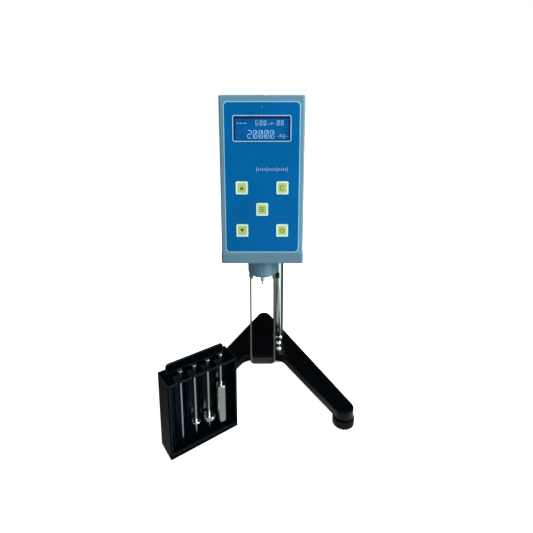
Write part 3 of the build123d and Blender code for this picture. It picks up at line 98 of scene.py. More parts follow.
camera_data = bpy.data.cameras.new("camera")
camera_data.sensor_width = SENSOR
camera_data.lens = FOCAL_IN_FRAMES * SENSOR
camera_data.shift_x = -0.0028
camera_data.shift_y = -0.168
camera_data.clip_start = 0.01
camera = bpy.data.objects.new("camera", camera_data)
camera.location = (axis.x + CAMERA_FROM_AXIS.x, axis.y + CAMERA_FROM_AXIS.y, CAMERA_FROM_AXIS.z)
camera.rotation_euler = (radians(90 - PITCH_DOWN), 0, 0)
bpy.context.scene.collection.objects.link(camera)
bpy.context.scene.camera = camera
print("camera lens %.1f mm, pitch %.1f degrees down" % (camera_data.lens, PITCH_DOWN))

# %% [markdown]
# ## Helpers for shader trees
# Every finish below is a small tree of nodes. Two helpers keep them readable: one adds a node and sets its
# sockets by name, and one starts a material with an output.

# %% Node helpers
def add(tree, kind, sockets=None, **settings):
    """Adds a node, sets its properties, and sets its sockets by name."""
    node = tree.nodes.new(kind)
    for name, value in settings.items():
        setattr(node, name, value)
    for name, value in (sockets or {}).items():
        node.inputs[name].default_value = value
    return node


def blank_material(name):
    """A material whose tree holds only its output."""
    material = bpy.data.materials.new(name)
    material.use_nodes = True
    tree = material.node_tree
    tree.nodes.clear()
    output = add(tree, "ShaderNodeOutputMaterial")
    return material, tree, output


def ramp(tree, source, low, high, low_at=0.35, high_at=0.65):
    """Runs a grey value through a two-colour ramp."""
    colours = add(tree, "ShaderNodeValToRGB")
    colours.color_ramp.elements[0].position = low_at
    colours.color_ramp.elements[0].color = low
    colours.color_ramp.elements[1].position = high_at
    colours.color_ramp.elements[1].color = high
    tree.links.new(source, colours.inputs["Fac"])
    return colours


def shaded(colour, factor):
    """A colour made darker or lighter by a factor."""
    return tuple(min(1.0, channel * factor) for channel in colour[:3]) + (1.0,)


print("helpers ready")

# %% [markdown]
# ## Light and surroundings
# Product light is broad and even: a large soft lamp at the right, a weaker one at the left, and a pale room
# around them that is brighter at the right. The camera sees the room white, and the floor is a white sheet.
# Polished metal in a white room would vanish, so a photographer stands dark and bright cards around it: gloss
# sees a room that is pale in front and dark behind, and a floor of cards fanned out around the column.

# %% The room
world = bpy.data.worlds.new("studio")
bpy.context.scene.world = world
world.use_nodes = True
room = world.node_tree
room.nodes.clear()
room_output = add(room, "ShaderNodeOutputWorld")
room_light = add(room, "ShaderNodeBackground", {"Strength": 0.30})
room_seen = add(room, "ShaderNodeBackground", {"Color": (1.0, 1.0, 1.0, 1.0), "Strength": 1.0})
room_gloss = add(room, "ShaderNodeBackground", {"Strength": 1.0})
TO_FRACTION = {1: 0.5, 2: 0.5}  # turns -1 to 1 into 0 to 1
direction = add(room, "ShaderNodeTexCoord")
split = add(room, "ShaderNodeSeparateXYZ")
room.links.new(direction.outputs["Generated"], split.inputs["Vector"])
backwards = add(room, "ShaderNodeMath", TO_FRACTION, operation="MULTIPLY_ADD")
room.links.new(split.outputs["Y"], backwards.inputs[0])
PALE_FRONT = (0.42, 0.45, 0.48, 1.0)
DARK_BACK = (0.02, 0.022, 0.024, 1.0)
bands = ramp(room, backwards.outputs["Value"], PALE_FRONT, DARK_BACK, 0.10, 0.75)
room.links.new(bands.outputs["Color"], room_gloss.inputs["Color"])
rightwards = add(room, "ShaderNodeMath", TO_FRACTION, operation="MULTIPLY_ADD")
room.links.new(split.outputs["X"], rightwards.inputs[0])
DIM_LEFT = (0.22, 0.24, 0.26, 1.0)
BRIGHT_RIGHT = (1.9, 1.94, 2.0, 1.0)
sides = ramp(room, rightwards.outputs["Value"], DIM_LEFT, BRIGHT_RIGHT, 0.20, 0.95)
room.links.new(sides.outputs["Color"], room_light.inputs["Color"])
path = add(room, "ShaderNodeLightPath")
gloss_or_light = add(room, "ShaderNodeMixShader")
seen_or_not = add(room, "ShaderNodeMixShader")
room.links.new(path.outputs["Is Glossy Ray"], gloss_or_light.inputs["Fac"])
room.links.new(room_light.outputs["Background"], gloss_or_light.inputs[1])
room.links.new(room_gloss.outputs["Background"], gloss_or_light.inputs[2])
room.links.new(path.outputs["Is Camera Ray"], seen_or_not.inputs["Fac"])
room.links.new(gloss_or_light.outputs["Shader"], seen_or_not.inputs[1])
room.links.new(room_seen.outputs["Background"], seen_or_not.inputs[2])
room.links.new(seen_or_not.outputs["Shader"], room_output.inputs["Surface"])
print("room lit")

# %% Lamps
def soft_lamp(name, from_axis, aim, width, power):
    """A square soft box, placed from the spindle coupling's middle and turned towards an aim."""
    place = axis + Vector(from_axis)
    lamp_data = bpy.data.lights.new(name, "AREA")
    lamp_data.size = width
    lamp_data.energy = power
    lamp = bpy.data.objects.new(name, lamp_data)
    lamp.location = place
    lamp.rotation_euler = (aim - place).to_track_quat("-Z", "Y").to_euler()
    bpy.context.scene.collection.objects.link(lamp)


head_middle = middle("head_cover")
soft_lamp("right_lamp", (1.25, -0.62, 0.80), head_middle, width=0.80, power=34.0)
soft_lamp("left_lamp", (-0.70, -1.30, 0.90), head_middle, width=1.00, power=2.5)
soft_lamp("top_lamp", (0.10, 0.15, 1.60), head_middle, width=0.90, power=7.0)
print("three soft lamps")

# %% The floor
def sheet_of_floor(half_width):
    """A wide flat sheet at bench height."""
    mesh = bpy.data.meshes.new("floor")
    shape = bmesh.new()
    bmesh.ops.create_grid(shape, x_segments=8, y_segments=8, size=half_width)
    shape.to_mesh(mesh)
    shape.free()
    floor = bpy.data.objects.new("floor", mesh)
    bpy.context.scene.collection.objects.link(floor)
    return floor


FLOOR_HALF_WIDTH = 4.0
floor = sheet_of_floor(FLOOR_HALF_WIDTH)
floor_paint, tree, output = blank_material("floor_paint")
paper = add(tree, "ShaderNodeBsdfDiffuse", {"Color": (0.80, 0.80, 0.80, 1.0)})

# the cards: how bright gloss sees the floor, by bearing round the column; 0.5 is straight towards the viewer
post = middle("column")
floor_place = add(tree, "ShaderNodeTexCoord")
from_post = add(tree, "ShaderNodeVectorMath", {1: (post.x, post.y, 0.0)}, operation="SUBTRACT")
apart = add(tree, "ShaderNodeSeparateXYZ")
forward = add(tree, "ShaderNodeMath", {1: -1.0}, operation="MULTIPLY")
bearing = add(tree, "ShaderNodeMath", operation="ARCTAN2")
turn_part = add(tree, "ShaderNodeMath", {1: 1 / (2 * pi), 2: 0.5}, operation="MULTIPLY_ADD")
cards = add(tree, "ShaderNodeValToRGB")
CARD_BANDS = [
    (0.00, (0.05, 0.055, 0.06)),
    (0.30, (0.12, 0.13, 0.14)),
    (0.40, (0.40, 0.45, 0.44)),
    (0.530, (0.40, 0.45, 0.43)),
    (0.550, (1.45, 1.62, 1.56)),
    (0.650, (1.50, 1.70, 1.64)),
    (0.675, (0.08, 0.10, 0.10)),
    (1.00, (0.05, 0.055, 0.06)),
]
card_stops = cards.color_ramp.elements
for number, (place, colour) in enumerate(CARD_BANDS):
    band = card_stops[number] if number < len(card_stops) else card_stops.new(place)
    band.position = place
    band.color = colour + (1.0,)
tree.links.new(floor_place.outputs["Object"], from_post.inputs[0])
tree.links.new(from_post.outputs["Vector"], apart.inputs["Vector"])
tree.links.new(apart.outputs["Y"], forward.inputs[0])
tree.links.new(apart.outputs["X"], bearing.inputs[0])
tree.links.new(forward.outputs["Value"], bearing.inputs[1])
tree.links.new(bearing.outputs["Value"], turn_part.inputs[0])
tree.links.new(turn_part.outputs["Value"], cards.inputs["Fac"])
flagged = add(tree, "ShaderNodeEmission", {"Strength": 1.0})
tree.links.new(cards.outputs["Color"], flagged.inputs["Color"])
flag_or_paper = add(tree, "ShaderNodeMixShader")
glow = add(tree, "ShaderNodeEmission", {"Color": (1.0, 1.0, 1.0, 1.0), "Strength": 0.90})
floor_path = add(tree, "ShaderNodeLightPath")
both = add(tree, "ShaderNodeAddShader")
camera_or_gloss = add(tree, "ShaderNodeMixShader")
tree.links.new(paper.outputs["BSDF"], both.inputs[0])
tree.links.new(glow.outputs["Emission"], both.inputs[1])
tree.links.new(floor_path.outputs["Is Camera Ray"], camera_or_gloss.inputs["Fac"])
tree.links.new(floor_path.outputs["Is Glossy Ray"], flag_or_paper.inputs["Fac"])
tree.links.new(paper.outputs["BSDF"], flag_or_paper.inputs[1])
tree.links.new(flagged.outputs["Emission"], flag_or_paper.inputs[2])
tree.links.new(flag_or_paper.outputs["Shader"], camera_or_gloss.inputs[1])
tree.links.new(both.outputs["Shader"], camera_or_gloss.inputs[2])
tree.links.new(camera_or_gloss.outputs["Shader"], output.inputs["Surface"])
floor.data.materials.append(floor_paint)
bpy.context.scene.view_settings.view_transform = "Standard"
print("floor laid")

# %% [markdown]
# ## Paint and moulded plastic
# Paint on sheet metal is not one flat colour: it has a faint mottle, a fine orange-peel texture that breaks its
# gloss, and lighter edges, partly wear and partly a painted highlight where edges catch light. One helper
# gives all of that, and each finish only states its colour, its gloss and how coarse its skin is.

# %% A painted or moulded surface
def skin(name, colour, roughness, mottle=0.06, grain=900.0, bump=0.05, edge_wear_and_sheen=0.0, worn_and_lit_edge=None, specular=0.5):
    """Paint or plastic: mottled colour, uneven gloss, a fine skin, and edges painted lighter where asked, as wear
    and painted highlight.
    """
    material, tree, output = blank_material(name)
    shader = add(tree, "ShaderNodeBsdfPrincipled", {"Specular IOR Level": specular})
    place = add(tree, "ShaderNodeTexCoord")
    cloud = add(tree, "ShaderNodeTexNoise", {"Scale": 24.0, "Detail": 4.0, "Roughness": 0.6})
    peel = add(tree, "ShaderNodeTexNoise", {"Scale": grain, "Detail": 2.0, "Roughness": 0.5})
    for texture in (cloud, peel):
        tree.links.new(place.outputs["Object"], texture.inputs["Vector"])
    tint = ramp(tree, cloud.outputs["Fac"], shaded(colour, 1 - mottle), shaded(colour, 1 + mottle))
    gloss = add(tree, "ShaderNodeMapRange", {"To Min": roughness * 0.85, "To Max": roughness * 1.18})
    tree.links.new(cloud.outputs["Fac"], gloss.inputs["Value"])
    tree.links.new(gloss.outputs["Result"], shader.inputs["Roughness"])
    relief = add(tree, "ShaderNodeBump", {"Strength": bump, "Distance": 0.0004})
    tree.links.new(peel.outputs["Fac"], relief.inputs["Height"])
    tree.links.new(relief.outputs["Normal"], shader.inputs["Normal"])
    # edges painted lighter: partly wear, partly a painted highlight where light catches the edge
    if edge_wear_and_sheen > 0:
        rounded = add(tree, "ShaderNodeBevel", {"Radius": 0.0009}, samples=6)
        surface = add(tree, "ShaderNodeNewGeometry")
        turn = add(tree, "ShaderNodeVectorMath", operation="DOT_PRODUCT")
        tree.links.new(rounded.outputs["Normal"], turn.inputs[0])
        tree.links.new(surface.outputs["Normal"], turn.inputs[1])
        edge = add(tree, "ShaderNodeMapRange", {"From Min": 0.995, "From Max": 0.90, "To Min": 0.0, "To Max": edge_wear_and_sheen})
        tree.links.new(turn.outputs["Value"], edge.inputs["Value"])
        rub_and_sheen = add(tree, "ShaderNodeMath", operation="MULTIPLY")
        tree.links.new(edge.outputs["Result"], rub_and_sheen.inputs[0])
        tree.links.new(cloud.outputs["Fac"], rub_and_sheen.inputs[1])
        blend = add(tree, "ShaderNodeMix", data_type="RGBA")
        tree.links.new(rub_and_sheen.outputs["Value"], blend.inputs["Factor"])
        tree.links.new(tint.outputs["Color"], blend.inputs["A"])
        blend.inputs["B"].default_value = worn_and_lit_edge or shaded(colour, 1.6)
        tree.links.new(blend.outputs["Result"], shader.inputs["Base Color"])
    else:
        tree.links.new(tint.outputs["Color"], shader.inputs["Base Color"])
    tree.links.new(shader.outputs["BSDF"], output.inputs["Surface"])
    return material


finish = {}
finish["base_black"] = skin(
    "base_enamel",
    srgb(3, 5, 7),
    roughness=0.26, mottle=0.12, grain=700.0, bump=0.04, edge_wear_and_sheen=0.25, worn_and_lit_edge=srgb(30, 38, 44), specular=0.06,
)
finish["black_plastic"] = skin(
    "knob_plastic",
    srgb(6, 6, 7),
    roughness=0.42, mottle=0.10, grain=1400.0, bump=0.10, edge_wear_and_sheen=0.25, worn_and_lit_edge=srgb(34, 36, 38), specular=0.05,
)
finish["rubber"] = skin(
    "pad_rubber",
    srgb(16, 16, 16),
    roughness=0.85, mottle=0.10, grain=2200.0, bump=0.20, specular=0.2,
)
# the cover's edges are painted near white: partly edge wear, partly a painted highlight on the rounded edges
finish["head_paint"] = skin(
    "cover_paint",
    srgb(93, 136, 158),
    roughness=0.30, mottle=0.035, grain=1100.0, bump=0.04, edge_wear_and_sheen=0.9, worn_and_lit_edge=srgb(206, 226, 234),
)
# painted shade: the chassis band takes the cover's paint made darker, for the shade on the lower band
finish["chassis_paint"] = skin(
    "chassis_paint",
    srgb(84, 123, 141),
    roughness=0.40, mottle=0.04, grain=1100.0, edge_wear_and_sheen=0.6, worn_and_lit_edge=srgb(150, 182, 196),
)
finish["panel_paint"] = skin(
    "panel_paint",
    srgb(98, 138, 158),
    roughness=0.45, mottle=0.04, grain=1100.0, edge_wear_and_sheen=0.4, worn_and_lit_edge=srgb(160, 190, 202),
)
finish["cup_paint"] = skin(
    "cup_paint",
    srgb(78, 116, 136),
    roughness=0.30, mottle=0.05, grain=1100.0, bump=0.04, edge_wear_and_sheen=0.4, worn_and_lit_edge=srgb(150, 184, 200),
)
finish["bracket_paint"] = skin(
    "bracket_enamel",
    srgb(22, 25, 28),
    roughness=0.35, mottle=0.10, grain=1200.0, bump=0.08, edge_wear_and_sheen=0.4, worn_and_lit_edge=srgb(80, 84, 88),
)
# the case's edges are painted pale blue-grey: partly wear, partly a painted highlight along the glossy edges
finish["case_black"] = skin(
    "case_plastic",
    srgb(2, 4, 7),
    roughness=0.38, mottle=0.12, grain=1300.0, bump=0.08, edge_wear_and_sheen=1.0, worn_and_lit_edge=srgb(74, 94, 108), specular=0.02,
)
# painted reflection: black plastic tinted blue and mottled for the dark blue sheen of the glossy back wall
finish["channel_painted_sheen"] = skin(
    "channel_plastic_painted_sheen",
    srgb(1, 8, 18),
    roughness=0.18, mottle=0.30, grain=1300.0, edge_wear_and_sheen=0.30, worn_and_lit_edge=srgb(30, 60, 84), specular=0.09,
)
finish["board_green"] = skin(
    "board_mask",
    srgb(24, 92, 58),
    roughness=0.40, mottle=0.15, grain=500.0, bump=0.10,
)
print("painted and moulded finishes:", len(finish))

# %% [markdown]
# ## Metal
# Turned steel shows fine rings around its axis and rolled strip shows lines along it, while chrome is smooth and
# mirrors the room. The same tree does all three: a noise stretched along one direction roughens and tilts the
# surface, strongly for brushed metal and hardly at all for chrome.

# %% A metal surface
def metal(name, colour, roughness, stretch=(1.0, 1.0, 1.0), scale=600.0, bump=0.08, mottle=0.08, smear=0.25):
    """Bare or plated metal with tool marks stretched along one direction and faint handling smears."""
    material, tree, output = blank_material(name)
    shader = add(tree, "ShaderNodeBsdfPrincipled", {"Metallic": 1.0})
    place = add(tree, "ShaderNodeTexCoord")
    along = add(tree, "ShaderNodeMapping", {"Scale": stretch})
    tree.links.new(place.outputs["Object"], along.inputs["Vector"])
    marks = add(tree, "ShaderNodeTexNoise", {"Scale": scale, "Detail": 3.0, "Roughness": 0.65})
    tree.links.new(along.outputs["Vector"], marks.inputs["Vector"])
    hands = add(tree, "ShaderNodeTexNoise", {"Scale": 60.0, "Detail": 3.0, "Roughness": 0.55})
    tree.links.new(place.outputs["Object"], hands.inputs["Vector"])
    tint = ramp(tree, marks.outputs["Fac"], shaded(colour, 1 - mottle), shaded(colour, 1 + mottle))
    tree.links.new(tint.outputs["Color"], shader.inputs["Base Color"])
    gloss = add(tree, "ShaderNodeMapRange", {"To Min": roughness * (1 - smear), "To Max": roughness * (1 + smear)})
    tree.links.new(hands.outputs["Fac"], gloss.inputs["Value"])
    tree.links.new(gloss.outputs["Result"], shader.inputs["Roughness"])
    relief = add(tree, "ShaderNodeBump", {"Strength": bump, "Distance": 0.0002})
    tree.links.new(marks.outputs["Fac"], relief.inputs["Height"])
    tree.links.new(relief.outputs["Normal"], shader.inputs["Normal"])
    tree.links.new(shader.outputs["BSDF"], output.inputs["Surface"])
    return material


LENGTHWISE = (1.0, 1.0, 0.04)
RINGS = (0.04, 0.04, 1.0)
CROSSWISE = (0.05, 1.0, 1.0)
finish["chrome"] = metal(
    "column_chrome",
    srgb(196, 206, 202),
    roughness=0.12, stretch=LENGTHWISE, scale=500.0, bump=0.02, mottle=0.03, smear=0.4,
)
finish["steel"] = metal(
    "turned_steel",
    srgb(196, 202, 200),
    roughness=0.22, stretch=RINGS, scale=900.0, bump=0.10,
)
finish["bright_screw"] = metal(
    "bright_zinc",
    srgb(225, 226, 224),
    roughness=0.18, scale=500.0, bump=0.05,
)
finish["dark_screw"] = metal(
    "black_oxide",
    srgb(46, 47, 50),
    roughness=0.35, scale=500.0,
)
finish["rack_steel"] = metal(
    "milled_steel",
    srgb(150, 150, 146),
    roughness=0.32, stretch=RINGS, scale=700.0, bump=0.12,
)
finish["aluminium"] = metal(
    "milled_aluminium",
    srgb(196, 198, 200),
    roughness=0.30, stretch=CROSSWISE, scale=700.0,
)
finish["brass"] = metal(
    "turned_brass",
    srgb(202, 164, 92),
    roughness=0.24, stretch=RINGS, scale=800.0,
)
finish["guard_steel"] = metal(
    "guard_strip",
    srgb(126, 124, 117),
    roughness=0.44, stretch=LENGTHWISE, scale=800.0, bump=0.10, mottle=0.10,
)
finish["motor_can"] = metal(
    "plated_can",
    srgb(132, 132, 134),
    roughness=0.30, stretch=LENGTHWISE, scale=500.0, bump=0.06,
)
print("metal finishes, and", len(finish), "finishes in all")

# %% [markdown]
# ## Film, keys, display and glass
# The front is a printed polyester film: a deep blue with a little lift where light catches it, over which the
# keys are clear yellow-green windows. The display is backlit, so its colour is mostly its own light. The clear
# parts let the eye through and keep a thin reflection.

# %% Film, lit display and clear plates
def printed_film(name, colour, roughness=0.30, specular=0.20):
    """Back-printed film: even colour, a satin skin, and a faint dot screen."""
    material, tree, output = blank_material(name)
    shader = add(tree, "ShaderNodeBsdfPrincipled", {"Specular IOR Level": specular})
    place = add(tree, "ShaderNodeTexCoord")
    screen = add(tree, "ShaderNodeTexVoronoi", {"Scale": 1500.0})
    drift = add(tree, "ShaderNodeTexNoise", {"Scale": 16.0, "Detail": 2.0})
    tree.links.new(place.outputs["Object"], screen.inputs["Vector"])
    tree.links.new(place.outputs["Object"], drift.inputs["Vector"])
    tint = ramp(tree, drift.outputs["Fac"], shaded(colour, 0.93), shaded(colour, 1.07))
    tree.links.new(tint.outputs["Color"], shader.inputs["Base Color"])
    gloss = add(tree, "ShaderNodeMapRange", {"To Min": roughness * 0.9, "To Max": roughness * 1.15})
    tree.links.new(screen.outputs["Distance"], gloss.inputs["Value"])
    tree.links.new(gloss.outputs["Result"], shader.inputs["Roughness"])
    relief = add(tree, "ShaderNodeBump", {"Strength": 0.03, "Distance": 0.0002})
    tree.links.new(screen.outputs["Distance"], relief.inputs["Height"])
    tree.links.new(relief.outputs["Normal"], shader.inputs["Normal"])
    tree.links.new(shader.outputs["BSDF"], output.inputs["Surface"])
    return material


def lit(name, colour, strength, roughness=0.25, body=0.3):
    """A surface that shines by itself, unevenly, as a backlight behind a diffuser does."""
    material, tree, output = blank_material(name)
    shader = add(tree, "ShaderNodeBsdfPrincipled", {"Emission Strength": strength, "Specular IOR Level": 0.05})
    place = add(tree, "ShaderNodeTexCoord")
    spread = add(tree, "ShaderNodeTexNoise", {"Scale": 30.0, "Detail": 2.0})
    cells = add(tree, "ShaderNodeTexVoronoi", {"Scale": 1800.0})
    tree.links.new(place.outputs["Object"], spread.inputs["Vector"])
    tree.links.new(place.outputs["Object"], cells.inputs["Vector"])
    light = ramp(tree, spread.outputs["Fac"], shaded(colour, 0.88), shaded(colour, 1.12))
    tree.links.new(light.outputs["Color"], shader.inputs["Emission Color"])
    cover = ramp(tree, spread.outputs["Fac"], shaded(colour, 0.88 * body), shaded(colour, 1.12 * body))
    tree.links.new(cover.outputs["Color"], shader.inputs["Base Color"])
    gloss = add(tree, "ShaderNodeMapRange", {"To Min": roughness * 0.9, "To Max": roughness * 1.2})
    tree.links.new(cells.outputs["Distance"], gloss.inputs["Value"])
    tree.links.new(gloss.outputs["Result"], shader.inputs["Roughness"])
    relief = add(tree, "ShaderNodeBump", {"Strength": 0.02, "Distance": 0.0001})
    tree.links.new(cells.outputs["Distance"], relief.inputs["Height"])
    tree.links.new(relief.outputs["Normal"], shader.inputs["Normal"])
    tree.links.new(shader.outputs["BSDF"], output.inputs["Surface"])
    return material


def clear(name, tint, roughness=0.08, body=0.12, solid=None):
    """Clear moulded plastic: mostly see-through, with a thin smeared reflection and a little body colour."""
    material, tree, output = blank_material(name)
    through = add(tree, "ShaderNodeBsdfTransparent", {"Color": tint})
    shader = add(tree, "ShaderNodeBsdfPrincipled", {"Base Color": solid or tint, "Specular IOR Level": 0.3})
    place = add(tree, "ShaderNodeTexCoord")
    smear = add(tree, "ShaderNodeTexNoise", {"Scale": 90.0, "Detail": 4.0})
    tree.links.new(place.outputs["Object"], smear.inputs["Vector"])
    gloss = add(tree, "ShaderNodeMapRange", {"To Min": roughness * 0.7, "To Max": roughness * 1.6})
    tree.links.new(smear.outputs["Fac"], gloss.inputs["Value"])
    tree.links.new(gloss.outputs["Result"], shader.inputs["Roughness"])
    relief = add(tree, "ShaderNodeBump", {"Strength": 0.01, "Distance": 0.0001})
    tree.links.new(smear.outputs["Fac"], relief.inputs["Height"])
    tree.links.new(relief.outputs["Normal"], shader.inputs["Normal"])
    mixed = add(tree, "ShaderNodeMixShader", {"Fac": body})
    tree.links.new(through.outputs["BSDF"], mixed.inputs[1])
    tree.links.new(shader.outputs["BSDF"], mixed.inputs[2])
    tree.links.new(mixed.outputs["Shader"], output.inputs["Surface"])
    return material


finish["overlay_blue"] = printed_film("overlay_film", srgb(0, 92, 152), 0.30, 0.05)
finish["key"] = printed_film("key_film", srgb(170, 190, 112), 0.38, 0.10)
finish["display"] = lit("display_light", srgb(4, 92, 152), 0.85)
finish["led"] = lit("led_lens", srgb(60, 122, 160), 0.6)
finish["window"] = clear("window_plastic", (0.95, 0.975, 1.0, 1.0), 0.10, body=0.03, solid=srgb(6, 40, 70))
finish["level_glass"] = clear("level_vial", (0.72, 0.86, 0.30, 1.0), 0.05, 0.45)
print("finishes in all:", len(finish))

# %% [markdown]
# ## Giving every solid its finish
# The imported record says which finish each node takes, so the whole instrument is painted by one loop. A slot
# that had no finish here would stop the script, which is better than a grey part found later.

# %% Paint the solids
slot_of = {part["node"]: part["material_slot"] for part in frame["record"]["subparts"]}
# the case's channels take the black plastic with a painted blue reflection
own_finish = {"case_channels": "channel_painted_sheen"}
for name, node in frame["nodes"].items():
    surface = finish[own_finish.get(name, slot_of[name])]
    if node.material_slots:
        for place in node.material_slots:
            place.material = surface
    else:
        node.data.materials.append(surface)
print("painted", len(slot_of), "nodes")

# %% [markdown]
# ## Flat print and thin trim
# Borders, marks and lit segments are thin plates with real edges. Each is drawn as an outline in the panel's
# plane and given a little thickness towards the viewer, so that light finds its rim. Straight bars, rings and
# rounded frames cover all of them.

# %% Plates from outlines
def plate(name, outlines, back, thickness, surface, body):
    """A piece of thin plates in an upright plane: each outline is a list of (x, z), back is the y they stand on."""
    mesh = bpy.data.meshes.new(name)
    shape = bmesh.new()
    for outline in outlines:
        corners = [shape.verts.new((x, back, z)) for x, z in outline]
        face = shape.faces.new(corners)
        thick = bmesh.ops.extrude_face_region(shape, geom=[face])
        moved = [item for item in thick["geom"] if isinstance(item, bmesh.types.BMVert)]
        bmesh.ops.translate(shape, verts=moved, vec=(0, -thickness, 0))
    bmesh.ops.recalc_face_normals(shape, faces=shape.faces)
    shape.to_mesh(mesh)
    shape.free()
    piece = bpy.data.objects.new(name, mesh)
    bpy.context.scene.collection.objects.link(piece)
    piece.data.materials.append(surface)
    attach(piece, body)
    return piece


def rounded(x, z, width, height, radius, steps=8):
    """The outline of a rounded rectangle around (x, z), anticlockwise."""
    corners = [(1, 1, 0), (-1, 1, 90), (-1, -1, 180), (1, -1, 270)]
    points = []
    for side_x, side_z, start in corners:
        centre_x = x + side_x * (width / 2 - radius)
        centre_z = z + side_z * (height / 2 - radius)
        for step in range(steps + 1):
            angle = radians(start + 90 * step / steps)
            points.append((centre_x + radius * cos(angle), centre_z + radius * sin(angle)))
    return points


def bar(start, end, width):
    """A bar with pointed ends from start to end."""
    along = (Vector(end) - Vector(start)).normalized()
    across = Vector((-along.y, along.x)) * width / 2
    a, b = Vector(start), Vector(end)
    near, far = a + along * width / 2, b - along * width / 2
    return [tuple(p) for p in (a, near - across, far - across, b, far + across, near + across)]


print("plate helpers ready")

# %% [markdown]
# A frame made of separate quads would show seams once each has its own thickness, so a frame is built as one
# ring instead: the two outlines are joined front, back and sides.

# %% Rings
def ring(name, outer, inner, back, thickness, surface, body):
    """A flat ring between two outlines, standing on the plane y = back."""
    mesh = bpy.data.meshes.new(name)
    shape = bmesh.new()
    loops = []
    for depth in (back, back - thickness):
        for outline in (outer, inner):
            loops.append([shape.verts.new((x, depth, z)) for x, z in outline])
    back_outer, back_inner, front_outer, front_inner = loops
    pairs = [
        (front_outer, front_inner),
        (back_inner, back_outer),
        (back_outer, front_outer),
        (front_inner, back_inner),
    ]
    count = len(outer)
    for first, second in pairs:
        for i in range(count):
            j = (i + 1) % count
            shape.faces.new([first[i], first[j], second[j], second[i]])
    bmesh.ops.recalc_face_normals(shape, faces=shape.faces)
    shape.to_mesh(mesh)
    shape.free()
    piece = bpy.data.objects.new(name, mesh)
    bpy.context.scene.collection.objects.link(piece)
    piece.data.materials.append(surface)
    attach(piece, body)
    return piece


def frame_ring(name, x, z, width, height, radius, border, back, thickness, surface, body):
    """A rounded frame of an even border."""
    outer = rounded(x, z, width, height, radius)
    inner_radius = max(radius - border, 0.2 * MM)
    inner = rounded(x, z, width - 2 * border, height - 2 * border, inner_radius)
    return ring(name, outer, inner, back, thickness, surface, body)


print("ring helpers ready")

# %% [markdown]
# ## The front film's border
# A pale line runs all round the film. It is the film's own clear edge, where the print stops short, so it sits
# on the cover and stands as proud as the film.

# %% Film border
outline_film = printed_film("outline_film", srgb(140, 190, 212), 0.35)
panel = middle("front_overlay")
panel_size = size("front_overlay")
cover_front = front("head_cover")
film_front = front("front_overlay")
LINE = 1.2 * MM
GAP = 0.02 * MM
frame_ring(
    "film_border",
    panel.x,
    panel.z,
    panel_size.x + 2 * (LINE + GAP),
    panel_size.z + 2 * (LINE + GAP),
    5.0 * MM + LINE,
    LINE,
    cover_front,
    cover_front - film_front,
    outline_film,
    "head",
)
print("film border %.1f x %.1f mm" % (panel_size.x / MM, panel_size.z / MM))

# %% [markdown]
# ## The display window
# Behind the clear window a dark printed mask hides everything but the glass, and a thin pale line follows the
# window's edge. Both are printed on the back of the window on the real thing; here they are thin rings on its
# face, which look the same and need no hole in the solid.

# %% Window mask and line
window = middle("display_window")
window_size = size("display_window")
window_front = front("display_window")
glass = middle("display_glass")
glass_size = size("display_glass")
mask_film = printed_film("mask_film", srgb(6, 22, 78), 0.30)
PRINT = 0.05 * MM
window_outer = rounded(window.x, window.z, window_size.x - 1.6 * MM, window_size.z - 1.6 * MM, 2.4 * MM)
glass_opening = rounded(glass.x, glass.z, glass_size.x - 0.8 * MM, glass_size.z - 0.8 * MM, 0.6 * MM)
ring("window_mask", window_outer, glass_opening, window_front, PRINT, mask_film, "head")
frame_ring(
    "window_line",
    window.x,
    window.z,
    window_size.x,
    window_size.z,
    3.0 * MM,
    1.3 * MM,
    window_front,
    2 * PRINT,
    outline_film,
    "head",
)
print("window %.1f x %.1f mm" % (window_size.x / MM, window_size.z / MM))

# %% [markdown]
# ## Lit segments
# The display shows plain numbers in segments. A digit is seven bars in a box, and a zero also gets a
# bar across it. Each character states which of its bars are lit.

# %% Segment characters
LIT = {
    "0": "abcdef/",
    "2": "abged",
    "6": "afgedc",
    "-": "g",
    "P": "abefg",
    "a": "abcdeg",
    "r": "eg",
}


def character(letter, left, low, width, height, stroke):
    """The lit bars of one character, as outlines."""
    right, high, half = left + width, low + height, low + height / 2
    gap = stroke * 0.35
    ends = {
        "a": ((left + gap, high), (right - gap, high)),
        "b": ((right, high - gap), (right, half + gap)),
        "c": ((right, half - gap), (right, low + gap)),
        "d": ((left + gap, low), (right - gap, low)),
        "e": ((left, half - gap), (left, low + gap)),
        "f": ((left, high - gap), (left, half + gap)),
        "g": ((left + gap, half), (right - gap, half)),
        "/": ((left + 1.6 * stroke, low + 1.6 * stroke), (right - 1.6 * stroke, high - 1.6 * stroke)),
    }
    return [bar(*ends[segment], stroke) for segment in LIT[letter]]


def text_bars(text, left, low, width, height, stroke, pitch):
    """The lit bars of a line of characters; a point takes no room of its own."""
    outlines = []
    cursor = left
    for letter in text:
        if letter == ".":
            x = cursor - (pitch - width) / 2 - stroke / 2
            under, over = low - stroke / 2, low + stroke / 2
            outlines.append([(x, under), (x + stroke, under), (x + stroke, over), (x, over)])
            continue
        outlines += character(letter, cursor, low, width, height, stroke)
        cursor += pitch
    return outlines


print("characters known:", "".join(sorted(LIT)))

# %% The display's lines
def on_glass(across, down):
    """A point on the glass, from fractions across and down it."""
    return glass.x + (across - 0.5) * glass_size.x, glass.z + (0.5 - down) * glass_size.z


